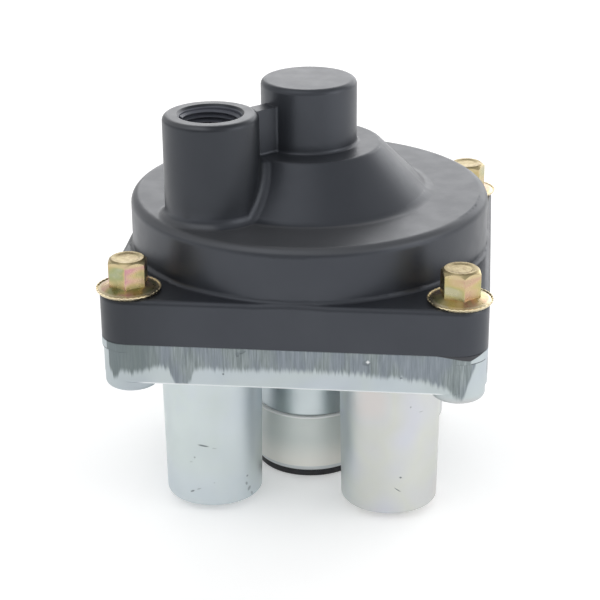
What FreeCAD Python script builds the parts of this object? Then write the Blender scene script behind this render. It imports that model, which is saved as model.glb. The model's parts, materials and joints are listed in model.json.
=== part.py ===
"""Air brake relay valve: square two-piece die casting with a control port on top,
four delivery ports and the exhaust below, and the supply port at the back.

Frame: +Z up along the valve axis, origin on that axis at the level the valve rests on,
the supply port faces +Y. Lengths in millimetres.
"""
import FreeCAD, Part
import os
import re
import Sketcher

DOC = FreeCAD.newDocument("RelayValve")
SHEET = DOC.addObject("Spreadsheet::Sheet", "Sizes")
UP = FreeCAD.Vector(0, 0, 1)
QUARTERS = [(1, 1), (-1, 1), (-1, -1), (1, -1)]

# Driving sizes: alias, value, what it is. A height is measured up from the joint face
# between cover and body, a depth down from it.
SIZES = [
    ("flange_width", 106.0, "across the flats of both square flanges"),
    ("screw_inset", 8.0, "cover screw axes inside the flange's sides"),
    # Cover
    ("cover_flange", 13.0, "thickness of the cover flange"),
    ("cover_corner", 8.2, "corner radius of the cover flange"),
    ("cover_edge", 1.5, "rounding of the flange's upper edge"),
    ("cover_wall", 5.0, "wall of the drum's roof and cone"),
    ("drum_inset", 1.3, "drum inside the flange's sides"),
    ("drum_wall", 10.7, "drum's outside to the piston bore"),
    ("drum_height", 28.4, "top of the drum"),
    ("drum_edge", 2.6, "rounding of the drum's upper edge"),
    ("drum_foot", 1.2, "fillet between drum and flange"),
    ("cone_foot_radius", 34.5, "cone where it meets the drum's roof"),
    ("cone_top_radius", 20.6, "cone at its upper rim"),
    ("cone_height", 42.4, "upper rim of the cone"),
    ("cone_foot_fillet", 4.0, "fillet between cone and roof"),
    ("cone_edge", 1.4, "rounding of the cone's rim"),
    ("centre_boss_radius", 13.7, "blind boss on the axis"),
    ("centre_boss_step", 3.8, "top of the blind boss above the port's top"),
    ("boss_edge", 1.6, "rounding of both bosses' upper edges"),
    ("boss_foot", 1.0, "fillet at the foot of the blind boss"),
    ("port_inset", 17.05, "control port axis inside the drum's outside"),
    ("port_boss_radius", 13.3, "control port boss"),
    ("port_height", 57.2, "top of the control port boss"),
    ("web_width", 5.0, "web between the two bosses"),
    ("web_drop", 1.7, "web top below the control port's top"),
    ("port_foot", 2.5, "fillet between port boss and dome"),
    ("web_fillet", 0.8, "fillet between web and bosses"),
    ("cover_hole_radius", 3.4, "screw clearance hole"),
    # Ports
    ("port_thread_radius", 8.55, "3/8 pipe thread, major radius"),
    ("port_thread_depth", 15.0, "threaded length of the small ports"),
    ("port_chamfer", 0.8, "countersink of the small ports"),
    ("control_passage_radius", 4.0, "drilling from control port to piston chamber"),
    ("supply_thread_radius", 13.3, "3/4 pipe thread, major radius"),
    ("supply_thread_depth", 18.0, "threaded length of the supply port"),
    # Body
    ("body_flange", 11.6, "thickness of the body flange"),
    ("body_rim", 2.5, "upper rim of the body flange, fuller at its corners"),
    ("body_corner", 10.0, "corner radius of the body flange below it"),
    ("body_edge", 0.8, "rounding of the flange's lower edge"),
    ("lug_radius", 7.5, "round lug under each screw"),
    ("lug_depth", 14.6, "underside of the lugs"),
    ("lug_edge", 1.6, "rounding of the lugs' lower edges"),
    ("screw_hole_depth", 12.4, "threaded hole in each lug"),
    ("delivery_x", 25.7, "delivery port axes along X"),
    ("delivery_y", 27.0, "delivery port axes along Y"),
    ("delivery_radius", 13.9, "delivery boss at its lower end"),
    ("delivery_draft", 0.8, "draft of the delivery bosses, degrees"),
    ("delivery_rise", 0.2, "lower ends of the delivery bosses above the shield's"),
    ("delivery_edge", 0.7, "rounding of the delivery bosses' ends"),
    ("delivery_passage_radius", 7.3, "drilling above the delivery threads"),
    ("chamber_depth", 7.0, "floor of the delivery chamber"),
    ("inlet_gap", 1.8, "inlet passage round the piston stem"),
    ("inlet_wall", 7.0, "wall between delivery and supply chamber"),
    ("seat_lip", 1.0, "inlet seat below that roof, and its width"),
    ("neck_wall", 2.5, "wall of the turned neck around the valve"),
    ("neck_lip", 1.2, "neck below the retaining ring"),
    ("valve_clearance", 1.6, "supply chamber outside the valve disc"),
    ("snap_rise", 4.0, "top of the snap groove above the neck's end"),
    ("snap_height", 1.6, "height of the snap groove"),
    ("snap_cut", 0.5, "depth of the snap groove"),
    ("supply_cover", 2.5, "wall between supply port and delivery chamber"),
    ("supply_boss_radius", 17.2, "supply port boss"),
    ("supply_stand", 1.0, "face of the supply port outside the flange's side"),
    ("supply_passage_radius", 7.4, "drilling from supply port to the valve"),
    ("seal_land", 5.4, "middle of the seal groove outside the piston bore"),
    ("seal_groove_width", 2.6, "width of the seal groove"),
    ("seal_section", 1.9, "section of the cover seal"),
    # Relay piston
    ("piston_gap", 0.08, "piston to bore, on the radius"),
    ("piston_top", 18.2, "top of the piston, released"),
    ("piston_crown", 4.5, "thickness of the crown"),
    ("piston_skirt", 9.5, "length of the skirt from the top"),
    ("piston_wall", 5.0, "thickness of the skirt"),
    ("piston_groove", 3.0, "height of the piston's ring groove"),
    ("piston_ring_section", 2.6, "section of the piston ring"),
    ("piston_stem_radius", 5.4, "stem that carries the exhaust seat"),
    ("piston_stem_recess", 3.4, "hollow end of the stem"),
    ("exhaust_gap", 1.6, "exhaust seat above the valve face, released"),
    ("return_spring_radius", 12.0, "piston spring, to the middle of its wire"),
    ("return_spring_wire", 0.9, "piston spring wire radius"),
    ("return_spring_turns", 4.0, "turns of the piston spring"),
    # Inlet and exhaust valve
    ("valve_overlap", 2.0, "rubber valve disc outside the inlet passage"),
    ("valve_rubber", 2.4, "thickness of the rubber face"),
    ("valve_plate", 1.6, "plate that carries the rubber"),
    ("valve_tube_radius", 4.6, "hollow valve stem"),
    ("valve_tube_bore", 3.1, "exhaust way through the stem"),
    ("valve_tube_rise", 5.5, "lower end of the stem above the neck's end"),
    ("valve_spring_radius", 6.4, "valve spring, to the middle of its wire"),
    ("valve_spring_wire", 0.6, "valve spring wire radius"),
    ("valve_spring_turns", 5.0, "turns of the valve spring"),
    ("guide_drop", 4.0, "top of the valve guide below the supply passage"),
    ("guide_gap", 0.05, "guide to neck and stem to guide, on the radius"),
    ("guide_groove", 2.2, "height of the guide's ring grooves"),
    ("guide_ring_section", 1.9, "section of the guide's rings"),
    ("guide_length", 10.4, "length of the guide, down to the retaining ring"),
    ("ring_thickness", 1.2, "retaining ring"),
    ("ring_cut", 0.8, "depth of the retaining ring groove"),
    ("ring_opening", 9.0, "gap between the retaining ring's ends"),
    # Exhaust shield and diaphragm
    ("shield_height", 15.4, "height of the shield"),
    ("shield_top_wall", 1.4, "outside of the shield round the neck, at its top"),
    ("shield_flare", 3.9, "outside of the shield round the neck, at its rim"),
    ("shield_lip", 1.0, "widest level of the shield above its lower edge"),
    ("shield_drop", 8.9, "lower edge of the shield below the neck's end"),
    ("shield_wall", 1.7, "wall of the shield"),
    ("shield_arm_width", 3.2, "arms that carry the hub"),
    ("shield_arm_rise", 6.4, "top of the arms above the shield's lower edge"),
    ("shield_arm_height", 2.6, "height of the arms"),
    ("shield_hub_radius", 4.2, "hub in the middle of the shield"),
    ("diaphragm_inset", 1.0, "rubber diaphragm inside the shield's rim"),
    ("diaphragm_sheet", 1.2, "thickness of the diaphragm's middle"),
    ("diaphragm_ring", 2.1, "thickness of its flat outer ring"),
    ("diaphragm_ring_width", 6.6, "width of its flat outer ring"),
    ("washer_radius", 5.4, "washer that clamps the diaphragm"),
    ("washer_thickness", 0.8, "thickness of that washer"),
    ("button_head_radius", 3.4, "head of the diaphragm screw"),
    ("button_head", 1.2, "height of that head"),
    ("button_shank_radius", 1.5, "shank of the diaphragm screw"),
    # Cover screws
    ("screw_radius", 3.0, "cover screw shank"),
    ("screw_length", 24.0, "shank below the head"),
    ("screw_flange_radius", 8.9, "flange of the screw head"),
    ("screw_flange_rim", 0.9, "thickness of the flange at its rim"),
    ("screw_flange_rise", 2.6, "flange where it meets the hexagon"),
    ("screw_head_flats", 10.0, "across the flats of the hexagon"),
    ("screw_head_height", 9.4, "top of the hexagon above the cover flange"),
    ("screw_head_chamfer", 0.9, "chamfer on the hexagon's corners"),
    ("thread_gap", 0.05, "screw shank to threaded hole, on the radius"),
]


# Sizes that follow from others
FOLLOWING = {
    "drum_radius": "flange_width / 2 - drum_inset",
    "bore_radius": "drum_radius - drum_wall",
    "screw_offset": "flange_width / 2 - screw_inset",
    "seal_groove_radius": "bore_radius + seal_land",
    "port_offset": "(drum_radius - port_inset) / sqrt(2)",
    "centre_boss_height": "port_height + centre_boss_step",
    "supply_reach": "flange_width / 2 + supply_stand",
    "inlet_radius": "piston_stem_radius + inlet_gap",
    "valve_radius": "inlet_radius + valve_overlap",
    "neck_bore_radius": "valve_radius + valve_clearance",
    "neck_radius": "neck_bore_radius + neck_wall",
    "shield_top_radius": "neck_radius + shield_top_wall",
    "shield_rim_radius": "neck_radius + shield_flare",
    "diaphragm_radius": "shield_rim_radius - diaphragm_inset",
    "diaphragm_bead": "diaphragm_radius - diaphragm_ring_width",
    "inlet_roof": "chamber_depth + inlet_wall",
    "supply_depth": "chamber_depth + supply_cover + supply_thread_radius",
    "guide_depth": "supply_depth + supply_passage_radius + guide_drop",
    "ring_groove_top": "guide_depth + guide_length",
    "neck_depth": "ring_groove_top + ring_thickness + neck_lip",
    "snap_depth": "neck_depth - snap_rise",
    "valve_tube_depth": "neck_depth - valve_tube_rise",
    "shield_foot": "neck_depth + shield_drop",
    "shield_rim": "shield_foot - shield_lip",
    "shield_top": "shield_foot - shield_height",
    "shield_arm_top": "shield_foot - shield_arm_rise",
    "delivery_depth": "shield_foot - delivery_rise",
    "diaphragm_foot": "shield_foot + diaphragm_ring",
    "joint_height": "diaphragm_foot",
}
ALIASES = [alias for alias, value, note in SIZES]
SIZE_WORD = re.compile(r"\b(" + "|".join(ALIASES + list(FOLLOWING)) + r")\b")


def fill_sheet():
    for row, (alias, value, note) in enumerate(SIZES, start=1):
        SHEET.set("A%d" % row, note)
        SHEET.set("B%d" % row, str(value))
        SHEET.setAlias("B%d" % row, alias)
    DOC.recompute()


def bound(text):
    """An expression in the sizes' names, as an object of the document reads it."""
    def read(found):
        name = found.group(1)
        return "(%s)" % bound(FOLLOWING[name]) if name in FOLLOWING else "Sizes." + name
    return SIZE_WORD.sub(read, text)


def size(text):
    """The present value of such an expression."""
    return float(SHEET.evalExpression(bound(text)))


def above(text):
    """A level in the frame, for a height above the joint face."""
    return "joint_height + (%s)" % text


def below(text):
    """A level in the frame, for a depth below the joint face."""
    return "joint_height - (%s)" % text


def tie(thing, field, text):
    thing.setExpression(field, bound(text))


# Sketches and features

def new_body(label):
    body = DOC.addObject("PartDesign::Body", label)
    body.Label = label
    body.Placement = FreeCAD.Placement()
    return body


def new_sketch(body, name, plane, offset="0"):
    sketch = body.newObject("Sketcher::SketchObject", name)
    origin_plane = [f for f in body.Origin.OriginFeatures if f.Role == plane][0]
    sketch.AttachmentSupport = [(origin_plane, "")]
    sketch.MapMode = "FlatFace"
    tie(sketch, "AttachmentOffset.Base.z", offset)
    return sketch


def pin_point(sketch, geometry, end, across, up):
    """Fixes one point of the sketch at a distance across and up from its origin."""
    for kind, text, axis in (("DistanceX", across, -2), ("DistanceY", up, -1)):
        value = size(text)
        if abs(value) < 1e-9:
            sketch.addConstraint(Sketcher.Constraint("PointOnObject", geometry, end, axis))
        elif value > 0:
            index = sketch.addConstraint(Sketcher.Constraint(kind, -1, 1, geometry, end, value))
            tie(sketch, "Constraints[%d]" % index, text)
        else:
            index = sketch.addConstraint(Sketcher.Constraint(kind, geometry, end, -1, 1, -value))
            tie(sketch, "Constraints[%d]" % index, "-(%s)" % text)


def draw_outline(sketch, points):
    """A closed outline of straight edges through points given as pairs of expressions."""
    places = [FreeCAD.Vector(size(across), size(up), 0) for across, up in points]
    lines = []
    for here, there in zip(places, places[1:] + places[:1]):
        lines.append(sketch.addGeometry(Part.LineSegment(here, there)))
    for before, after in zip(lines, lines[1:] + lines[:1]):
        sketch.addConstraint(Sketcher.Constraint("Coincident", before, 2, after, 1))
    for line, (across, up) in zip(lines, points):
        pin_point(sketch, line, 1, across, up)


def draw_circle(sketch, radius, across="0", up="0"):
    centre = FreeCAD.Vector(size(across), size(up), 0)
    circle = sketch.addGeometry(Part.Circle(centre, UP, size(radius)))
    index = sketch.addConstraint(Sketcher.Constraint("Radius", circle, size(radius)))
    tie(sketch, "Constraints[%d]" % index, radius)
    if size(across) == 0 and size(up) == 0:
        sketch.addConstraint(Sketcher.Constraint("Coincident", circle, 3, -1, 1))
    else:
        pin_point(sketch, circle, 3, across, up)


def draw_four_circles(sketch, radius, across, up):
    for sign_x, sign_y in QUARTERS:
        draw_circle(sketch, radius, "%d * (%s)" % (sign_x, across), "%d * (%s)" % (sign_y, up))


def extrude(body, kind, name, sketch, length, upwards=True):
    """A pad or pocket from its sketch, upwards or downwards along the sketch's normal."""
    feature = body.newObject("PartDesign::" + kind, name)
    feature.Profile = sketch
    tie(feature, "Length", length)
    grows_up = kind == "Pad"
    feature.Reversed = upwards != grows_up
    DOC.recompute()
    return feature


def turn(body, kind, name, points):
    """A revolution or groove about the valve axis, from a half section given as (radius, level)."""
    sketch = new_sketch(body, name + "Profile", "XZ_Plane")
    draw_outline(sketch, points)
    feature = body.newObject("PartDesign::" + kind, name)
    feature.Profile = sketch
    feature.ReferenceAxis = (sketch, ["V_Axis"])
    feature.Angle = 360
    DOC.recompute()
    return feature


def chosen_edges(shape, test):
    return ["Edge%d" % (i + 1) for i, edge in enumerate(shape.Edges) if test(edge)]


def dress(body, kind, name, base, test, amount):
    """A fillet or chamfer on the edges of the last feature that pass the test."""
    edges = chosen_edges(base.Shape, test)
    if not edges:
        raise ValueError("no edge found for " + name)
    feature = body.newObject("PartDesign::" + kind, name)
    feature.Base = (base, edges)
    tie(feature, "Radius" if kind == "Fillet" else "Size", amount)
    DOC.recompute()
    return feature


def is_upright(edge):
    box = edge.BoundBox
    return box.XLength < 1e-6 and box.YLength < 1e-6


def at_level(text, tolerance=1e-4):
    level = size(text)

    def test(edge):
        box = edge.BoundBox
        return abs(box.ZMin - level) < tolerance and abs(box.ZMax - level) < tolerance
    return test


def ring_at(radius, level, across="0", up="0"):
    """A test for the round edge of a given radius, axis and level."""
    wanted_radius = size(radius)
    centre = FreeCAD.Vector(size(across), size(up), size(level))

    def test(edge):
        if not isinstance(edge.Curve, Part.Circle):
            return False
        near = edge.Curve.Center.distanceToPoint(centre) < 1e-4
        return near and abs(edge.Curve.Radius - wanted_radius) < 1e-4
    return test


def either(*tests):
    return lambda edge: any(test(edge) for test in tests)


def finish_body(body, feature):
    body.Tip = feature
    DOC.recompute()
    return body


def flange_slab(body, name, corner, thickness, upwards):
    """A square flange with rounded corners, above or below the joint face."""
    sketch = new_sketch(body, name + "Square", "XY_Plane", "joint_height")
    corners = [("%s * flange_width / 2" % sx, "%s * flange_width / 2" % sy) for sx, sy in QUARTERS]
    draw_outline(sketch, corners)
    slab = extrude(body, "Pad", name, sketch, thickness, upwards)
    return dress(body, "Fillet", name + "Corners", slab, is_upright, corner)


def corner_rims(body):
    """The fuller upper rim of the body's corners, round about each screw."""
    sketch = new_sketch(body, "CornerRims", "XY_Plane", "joint_height")
    draw_four_circles(sketch, "screw_inset", "screw_offset", "screw_offset")
    return extrude(body, "Pad", "CornerRimPads", sketch, "body_rim", False)


# Cover

def make_cover():
    cover = new_body("cover")
    base = flange_slab(cover, "CoverFlange", "cover_corner", "cover_flange", True)
    base = turn(cover, "Revolution", "Dome", [
        ("0", above("cover_flange / 2")),
        ("drum_radius", above("cover_flange / 2")),
        ("drum_radius", above("drum_height")),
        ("cone_foot_radius", above("drum_height")),
        ("cone_top_radius", above("cone_height")),
        ("centre_boss_radius", above("cone_height")),
        ("centre_boss_radius", above("centre_boss_height")),
        ("0", above("centre_boss_height")),
    ])
    base = dress(cover, "Fillet", "ConeFoot", base,
                 ring_at("cone_foot_radius", above("drum_height")), "cone_foot_fillet")
    base = dress(cover, "Fillet", "ConeRim", base,
                 ring_at("cone_top_radius", above("cone_height")), "cone_edge")
    base = dress(cover, "Fillet", "DrumRim", base,
                 ring_at("drum_radius", above("drum_height")), "drum_edge")
    base = dress(cover, "Fillet", "DrumFoot", base,
                 ring_at("drum_radius", above("cover_flange")), "drum_foot")
    base = dress(cover, "Fillet", "BossFoot", base,
                 ring_at("centre_boss_radius", above("cone_height")), "boss_foot")

    port = new_sketch(cover, "PortSection", "XY_Plane", above("drum_height / 2"))
    draw_circle(port, "port_boss_radius", "-port_offset", "-port_offset")
    base = extrude(cover, "Pad", "PortBoss", port, "port_height - drum_height / 2")
    base = dress(cover, "Fillet", "PortFoot", base, port_foot_edges(), "port_foot")
    web = new_sketch(cover, "WebSection", "XY_Plane", above("drum_height / 2"))
    half = "web_width / 2 / sqrt(2)"
    draw_outline(web, [
        (half, "-(%s)" % half),
        ("-(%s)" % half, half),
        ("-port_offset - %s" % half, "-port_offset + %s" % half),
        ("-port_offset + %s" % half, "-port_offset - %s" % half),
    ])
    base = extrude(cover, "Pad", "Web", web, "port_height - web_drop - drum_height / 2")
    base = dress(cover, "Fillet", "WebSides", base, web_side_edges(), "web_fillet")
    base = dress(cover, "Fillet", "BossRims", base, either(
        ring_at("port_boss_radius", above("port_height"), "-port_offset", "-port_offset"),
        ring_at("centre_boss_radius", above("centre_boss_height"))), "boss_edge")
    base = dress(cover, "Fillet", "FlangeRim", base, cover_rim_edges(), "cover_edge")

    roof = "drum_height - cover_wall"
    slope = "(cone_foot_radius - cone_top_radius) / (cone_height - drum_height)"
    inner_foot = "cone_foot_radius - cover_wall * 0.6"
    base = turn(cover, "Groove", "Bore", [
        ("0", "joint_height"),
        ("bore_radius", "joint_height"),
        ("bore_radius", above(roof)),
        (inner_foot, above(roof)),
        ("%s - (cone_height - drum_height) * %s" % (inner_foot, slope),
         above("cone_height - cover_wall")),
        ("0", above("cone_height - cover_wall")),
    ])
    threads = new_sketch(cover, "ControlThread", "XY_Plane", above("port_height"))
    draw_circle(threads, "port_thread_radius", "-port_offset", "-port_offset")
    base = extrude(cover, "Pocket", "ControlPort", threads, "port_thread_depth", False)
    passage = new_sketch(cover, "ControlPassage", "XY_Plane", above("port_height"))
    draw_circle(passage, "control_passage_radius", "-port_offset", "-port_offset")
    base = extrude(cover, "Pocket", "ControlWay", passage,
                   "port_height - (%s) + cover_wall / 2" % roof, False)
    base = dress(cover, "Chamfer", "ControlMouth", base,
                 ring_at("port_thread_radius", above("port_height"),
                         "-port_offset", "-port_offset"), "port_chamfer")
    holes = new_sketch(cover, "ScrewHoles", "XY_Plane", above("cover_flange"))
    draw_four_circles(holes, "cover_hole_radius", "screw_offset", "screw_offset")
    base = extrude(cover, "Pocket", "ScrewHolePockets", holes, "cover_flange", False)
    return finish_body(cover, base)


def port_foot_edges():
    """Where the port boss stands on the dome."""
    offset = size("port_offset")
    radius = size("port_boss_radius")
    top = size(above("port_height"))

    def test(edge):
        for share in (0.05, 0.5, 0.95):
            point = edge.valueAt(edge.FirstParameter + share * (edge.LastParameter - edge.FirstParameter))
            from_port = ((point.x + offset) ** 2 + (point.y + offset) ** 2) ** 0.5
            if point.z > top - 0.01 or from_port > radius + 0.01:
                return False
        return not is_upright(edge)
    return test


def web_side_edges():
    """The upright corners between the web and both bosses."""
    width = size("web_width")

    def test(edge):
        point = edge.valueAt(edge.FirstParameter)
        from_middle = abs(point.x - point.y) / 2 ** 0.5
        return is_upright(edge) and point.x < 0 and point.y < 0 and from_middle < width
    return test


def cover_rim_edges():
    """The flange's upper edges, outside the drum."""
    level = size(above("cover_flange"))
    reach = size("flange_width / 2 - cover_corner")

    def test(edge):
        box = edge.BoundBox
        flat = abs(box.ZMin - level) < 1e-4 and abs(box.ZMax - level) < 1e-4
        middle = edge.valueAt((edge.FirstParameter + edge.LastParameter) / 2)
        return flat and max(abs(middle.x), abs(middle.y)) > reach and not round_the_axis(edge)
    return test


def round_the_axis(edge):
    return isinstance(edge.Curve, Part.Circle) and edge.Curve.Center.x ** 2 + edge.Curve.Center.y ** 2 < 1


# Body

def make_body():
    body = new_body("body")
    base = flange_slab(body, "BodyFlange", "body_corner", "body_flange", False)
    base = dress(body, "Fillet", "BodyEdge", base, at_level(below("body_flange")), "body_edge")
    base = corner_rims(body)
    lugs = new_sketch(body, "LugCircles", "XY_Plane", "joint_height")
    draw_four_circles(lugs, "lug_radius", "screw_offset", "screw_offset")
    base = extrude(body, "Pad", "Lugs", lugs, "lug_depth", False)
    base = dress(body, "Fillet", "LugRims", base, at_level(below("lug_depth")), "lug_edge")
    bosses = new_sketch(body, "DeliveryCircles", "XY_Plane", below("delivery_depth"))
    draw_four_circles(bosses, "delivery_radius", "delivery_x", "delivery_y")
    base = extrude(body, "Pad", "DeliveryBosses", bosses,
                   "delivery_depth - body_flange / 2", True)
    tie(base, "TaperAngle", "delivery_draft")
    DOC.recompute()
    base = dress(body, "Fillet", "DeliveryRims", base, at_level(below("delivery_depth")),
                 "delivery_edge")
    supply = new_sketch(body, "SupplyCircle", "XZ_Plane", "-supply_reach")
    draw_circle(supply, "supply_boss_radius", "0", below("supply_depth"))
    base = extrude(body, "Pad", "SupplyBoss", supply, "supply_reach - neck_radius / 2", True)
    base = turn(body, "Revolution", "Neck", [
        ("0", below("body_flange / 2")),
        ("neck_radius", below("body_flange / 2")),
        ("neck_radius", below("snap_depth")),
        ("neck_radius - snap_cut", below("snap_depth")),
        ("neck_radius - snap_cut", below("snap_depth + snap_height")),
        ("neck_radius", below("snap_depth + snap_height")),
        ("neck_radius", below("neck_depth")),
        ("0", below("neck_depth")),
    ])
    base = turn(body, "Groove", "ValveBore", [
        ("0", "joint_height"),
        ("bore_radius", "joint_height"),
        ("bore_radius", below("chamber_depth")),
        ("inlet_radius", below("chamber_depth")),
        ("inlet_radius", below("inlet_roof + seat_lip")),
        ("inlet_radius + seat_lip", below("inlet_roof + seat_lip")),
        ("inlet_radius + seat_lip", below("inlet_roof")),
        ("neck_bore_radius", below("inlet_roof")),
        ("neck_bore_radius", below("ring_groove_top")),
        ("neck_bore_radius + ring_cut", below("ring_groove_top")),
        ("neck_bore_radius + ring_cut", below("ring_groove_top + ring_thickness")),
        ("neck_bore_radius", below("ring_groove_top + ring_thickness")),
        ("neck_bore_radius", below("neck_depth")),
        ("0", below("neck_depth")),
    ])
    base = turn(body, "Groove", "SealGroove", [
        ("seal_groove_radius - seal_groove_width / 2", "joint_height"),
        ("seal_groove_radius + seal_groove_width / 2", "joint_height"),
        ("seal_groove_radius + seal_groove_width / 2", below("seal_section")),
        ("seal_groove_radius - seal_groove_width / 2", below("seal_section")),
    ])
    ways = new_sketch(body, "DeliveryWays", "XY_Plane", below("delivery_depth"))
    draw_four_circles(ways, "delivery_passage_radius", "delivery_x", "delivery_y")
    base = extrude(body, "Pocket", "DeliveryPassages", ways, "delivery_depth - chamber_depth", True)
    threads = new_sketch(body, "DeliveryThreads", "XY_Plane", below("delivery_depth"))
    draw_four_circles(threads, "port_thread_radius", "delivery_x", "delivery_y")
    base = extrude(body, "Pocket", "DeliveryPorts", threads, "port_thread_depth", True)
    mouths = [ring_at("port_thread_radius", below("delivery_depth"),
                      "%d * delivery_x" % sx, "%d * delivery_y" % sy) for sx, sy in QUARTERS]
    base = dress(body, "Chamfer", "DeliveryMouths", base, either(*mouths), "port_chamfer")
    way = new_sketch(body, "SupplyWay", "XZ_Plane", "-supply_reach")
    draw_circle(way, "supply_passage_radius", "0", below("supply_depth"))
    base = extrude(body, "Pocket", "SupplyPassage", way, "supply_reach", True)
    thread = new_sketch(body, "SupplyThread", "XZ_Plane", "-supply_reach")
    draw_circle(thread, "supply_thread_radius", "0", below("supply_depth"))
    base = extrude(body, "Pocket", "SupplyPort", thread, "supply_thread_depth", True)
    holes = new_sketch(body, "BodyScrewHoles", "XY_Plane", "joint_height")
    draw_four_circles(holes, "screw_radius + thread_gap", "screw_offset", "screw_offset")
    base = extrude(body, "Pocket", "ScrewThreads", holes, "screw_hole_depth", False)
    return finish_body(body, base)


# Turned and moulded inner pieces

def make_turned(label, points):
    piece = new_body(label)
    return finish_body(piece, turn(piece, "Revolution", label + "_turning", points))


def make_ring(label, radius, section, level):
    """A round-section rubber ring lying flat at a level."""
    ring = DOC.addObject("Part::Torus", label)
    ring.Label = label
    tie(ring, "Radius1", radius)
    tie(ring, "Radius2", "(%s) / 2" % section)
    tie(ring, "Placement.Base.z", level)
    DOC.recompute()
    return ring


# Turns of a spring that one surface covers; a surface of several turns meshes badly
SPRING_SEGMENT = 1.0


def make_spring(label, radius, wire, turns, low, high):
    """A compression spring of round wire whose ends lie on the levels low and high."""
    height = "(%s) - (%s) - 2 * %s" % (high, low, wire)
    helix = DOC.addObject("Part::Helix", label + "_line")
    tie(helix, "Radius", radius)
    tie(helix, "Height", height)
    tie(helix, "Pitch", "(%s) / %s" % (height, turns))
    helix.SegmentLength = SPRING_SEGMENT
    section = DOC.addObject("Part::Circle", label + "_wire")
    tie(section, "Radius", wire)
    tie(section, "Placement.Base.x", radius)
    section.Placement.Rotation = FreeCAD.Rotation(FreeCAD.Vector(1, 0, 0), 90)
    DOC.recompute()
    sweep = DOC.addObject("Part::Sweep", label)
    sweep.Label = label
    sweep.Sections = [section]
    sweep.Spine = (helix, [])
    sweep.Solid = True
    sweep.Frenet = True
    tie(sweep, "Placement.Base.z", "%s + %s" % (low, wire))
    DOC.recompute()
    return sweep


PISTON_RADIUS = "bore_radius - piston_gap"
GROOVE_TOP = "piston_top - piston_skirt / 2 + piston_groove / 2"
GROOVE_BOTTOM = "piston_top - piston_skirt / 2 - piston_groove / 2"
VALVE_FACE = "inlet_roof + seat_lip"
VALVE_BACK = "inlet_roof + seat_lip + valve_rubber"
STEM_END = "inlet_roof + seat_lip - exhaust_gap"


def make_piston():
    return make_turned("relay_piston", [
        ("0", above("piston_top")),
        (PISTON_RADIUS, above("piston_top")),
        (PISTON_RADIUS, above(GROOVE_TOP)),
        ("%s - piston_ring_section" % PISTON_RADIUS, above(GROOVE_TOP)),
        ("%s - piston_ring_section" % PISTON_RADIUS, above(GROOVE_BOTTOM)),
        (PISTON_RADIUS, above(GROOVE_BOTTOM)),
        (PISTON_RADIUS, above("piston_top - piston_skirt")),
        ("%s - piston_wall" % PISTON_RADIUS, above("piston_top - piston_skirt")),
        ("%s - piston_wall" % PISTON_RADIUS, above("piston_top - piston_crown")),
        ("piston_stem_radius", above("piston_top - piston_crown")),
        ("piston_stem_radius", below(STEM_END)),
        ("piston_stem_recess", below(STEM_END)),
        ("piston_stem_recess", below("%s - piston_stem_recess" % STEM_END)),
        ("0", below("%s - piston_stem_recess" % STEM_END)),
    ])


def make_valve():
    make_turned("valve_face", [
        ("valve_tube_bore", below(VALVE_FACE)),
        ("valve_radius", below(VALVE_FACE)),
        ("valve_radius", below(VALVE_BACK)),
        ("valve_tube_bore", below(VALVE_BACK)),
    ])
    make_turned("valve_stem", [
        ("valve_tube_bore", below(VALVE_BACK)),
        ("valve_radius", below(VALVE_BACK)),
        ("valve_radius", below("%s + valve_plate" % VALVE_BACK)),
        ("valve_tube_radius", below("%s + valve_plate" % VALVE_BACK)),
        ("valve_tube_radius", below("valve_tube_depth")),
        ("valve_tube_bore", below("valve_tube_depth")),
    ])


def make_guide():
    """The bush that seals and steers the valve stem, with its rings and retaining ring."""
    outer = "neck_bore_radius - guide_gap"
    inner = "valve_tube_radius + guide_gap"
    outer_high = "guide_depth + guide_groove"
    outer_low = "guide_depth + 2 * guide_groove"
    inner_high = "ring_groove_top - 2 * guide_groove"
    inner_low = "ring_groove_top - guide_groove"
    make_turned("valve_guide", [
        (inner, below("guide_depth")),
        (outer, below("guide_depth")),
        (outer, below(outer_high)),
        ("%s - guide_ring_section" % outer, below(outer_high)),
        ("%s - guide_ring_section" % outer, below(outer_low)),
        (outer, below(outer_low)),
        (outer, below("ring_groove_top")),
        (inner, below("ring_groove_top")),
        (inner, below(inner_low)),
        ("%s + guide_ring_section" % inner, below(inner_low)),
        ("%s + guide_ring_section" % inner, below(inner_high)),
        (inner, below(inner_high)),
    ])
    make_ring("guide_outer_ring", "%s - guide_ring_section / 2" % outer, "guide_ring_section",
              below("(%s + %s) / 2" % (outer_high, outer_low)))
    make_ring("guide_inner_ring", "%s + guide_ring_section / 2" % inner, "guide_ring_section",
              below("(%s + %s) / 2" % (inner_high, inner_low)))


def make_retaining_ring():
    ring = new_body("retaining_ring")
    level = below("ring_groove_top + ring_thickness")
    sketch = new_sketch(ring, "RingCircles", "XY_Plane", level)
    draw_circle(sketch, "neck_bore_radius + ring_cut - guide_gap")
    draw_circle(sketch, "neck_bore_radius - 2 * ring_cut")
    disc = extrude(ring, "Pad", "Ring", sketch, "ring_thickness")
    mouth = new_sketch(ring, "RingMouth", "XY_Plane", level)
    draw_outline(mouth, [
        ("-ring_opening / 2", "0"),
        ("ring_opening / 2", "0"),
        ("ring_opening / 2", "neck_radius + ring_cut"),
        ("-ring_opening / 2", "neck_radius + ring_cut"),
    ])
    return finish_body(ring, extrude(ring, "Pocket", "RingGap", mouth, "ring_thickness", True))


# Exhaust shield, diaphragm and its screw

DIAPHRAGM_TOP = "shield_arm_top + shield_arm_height"


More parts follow.
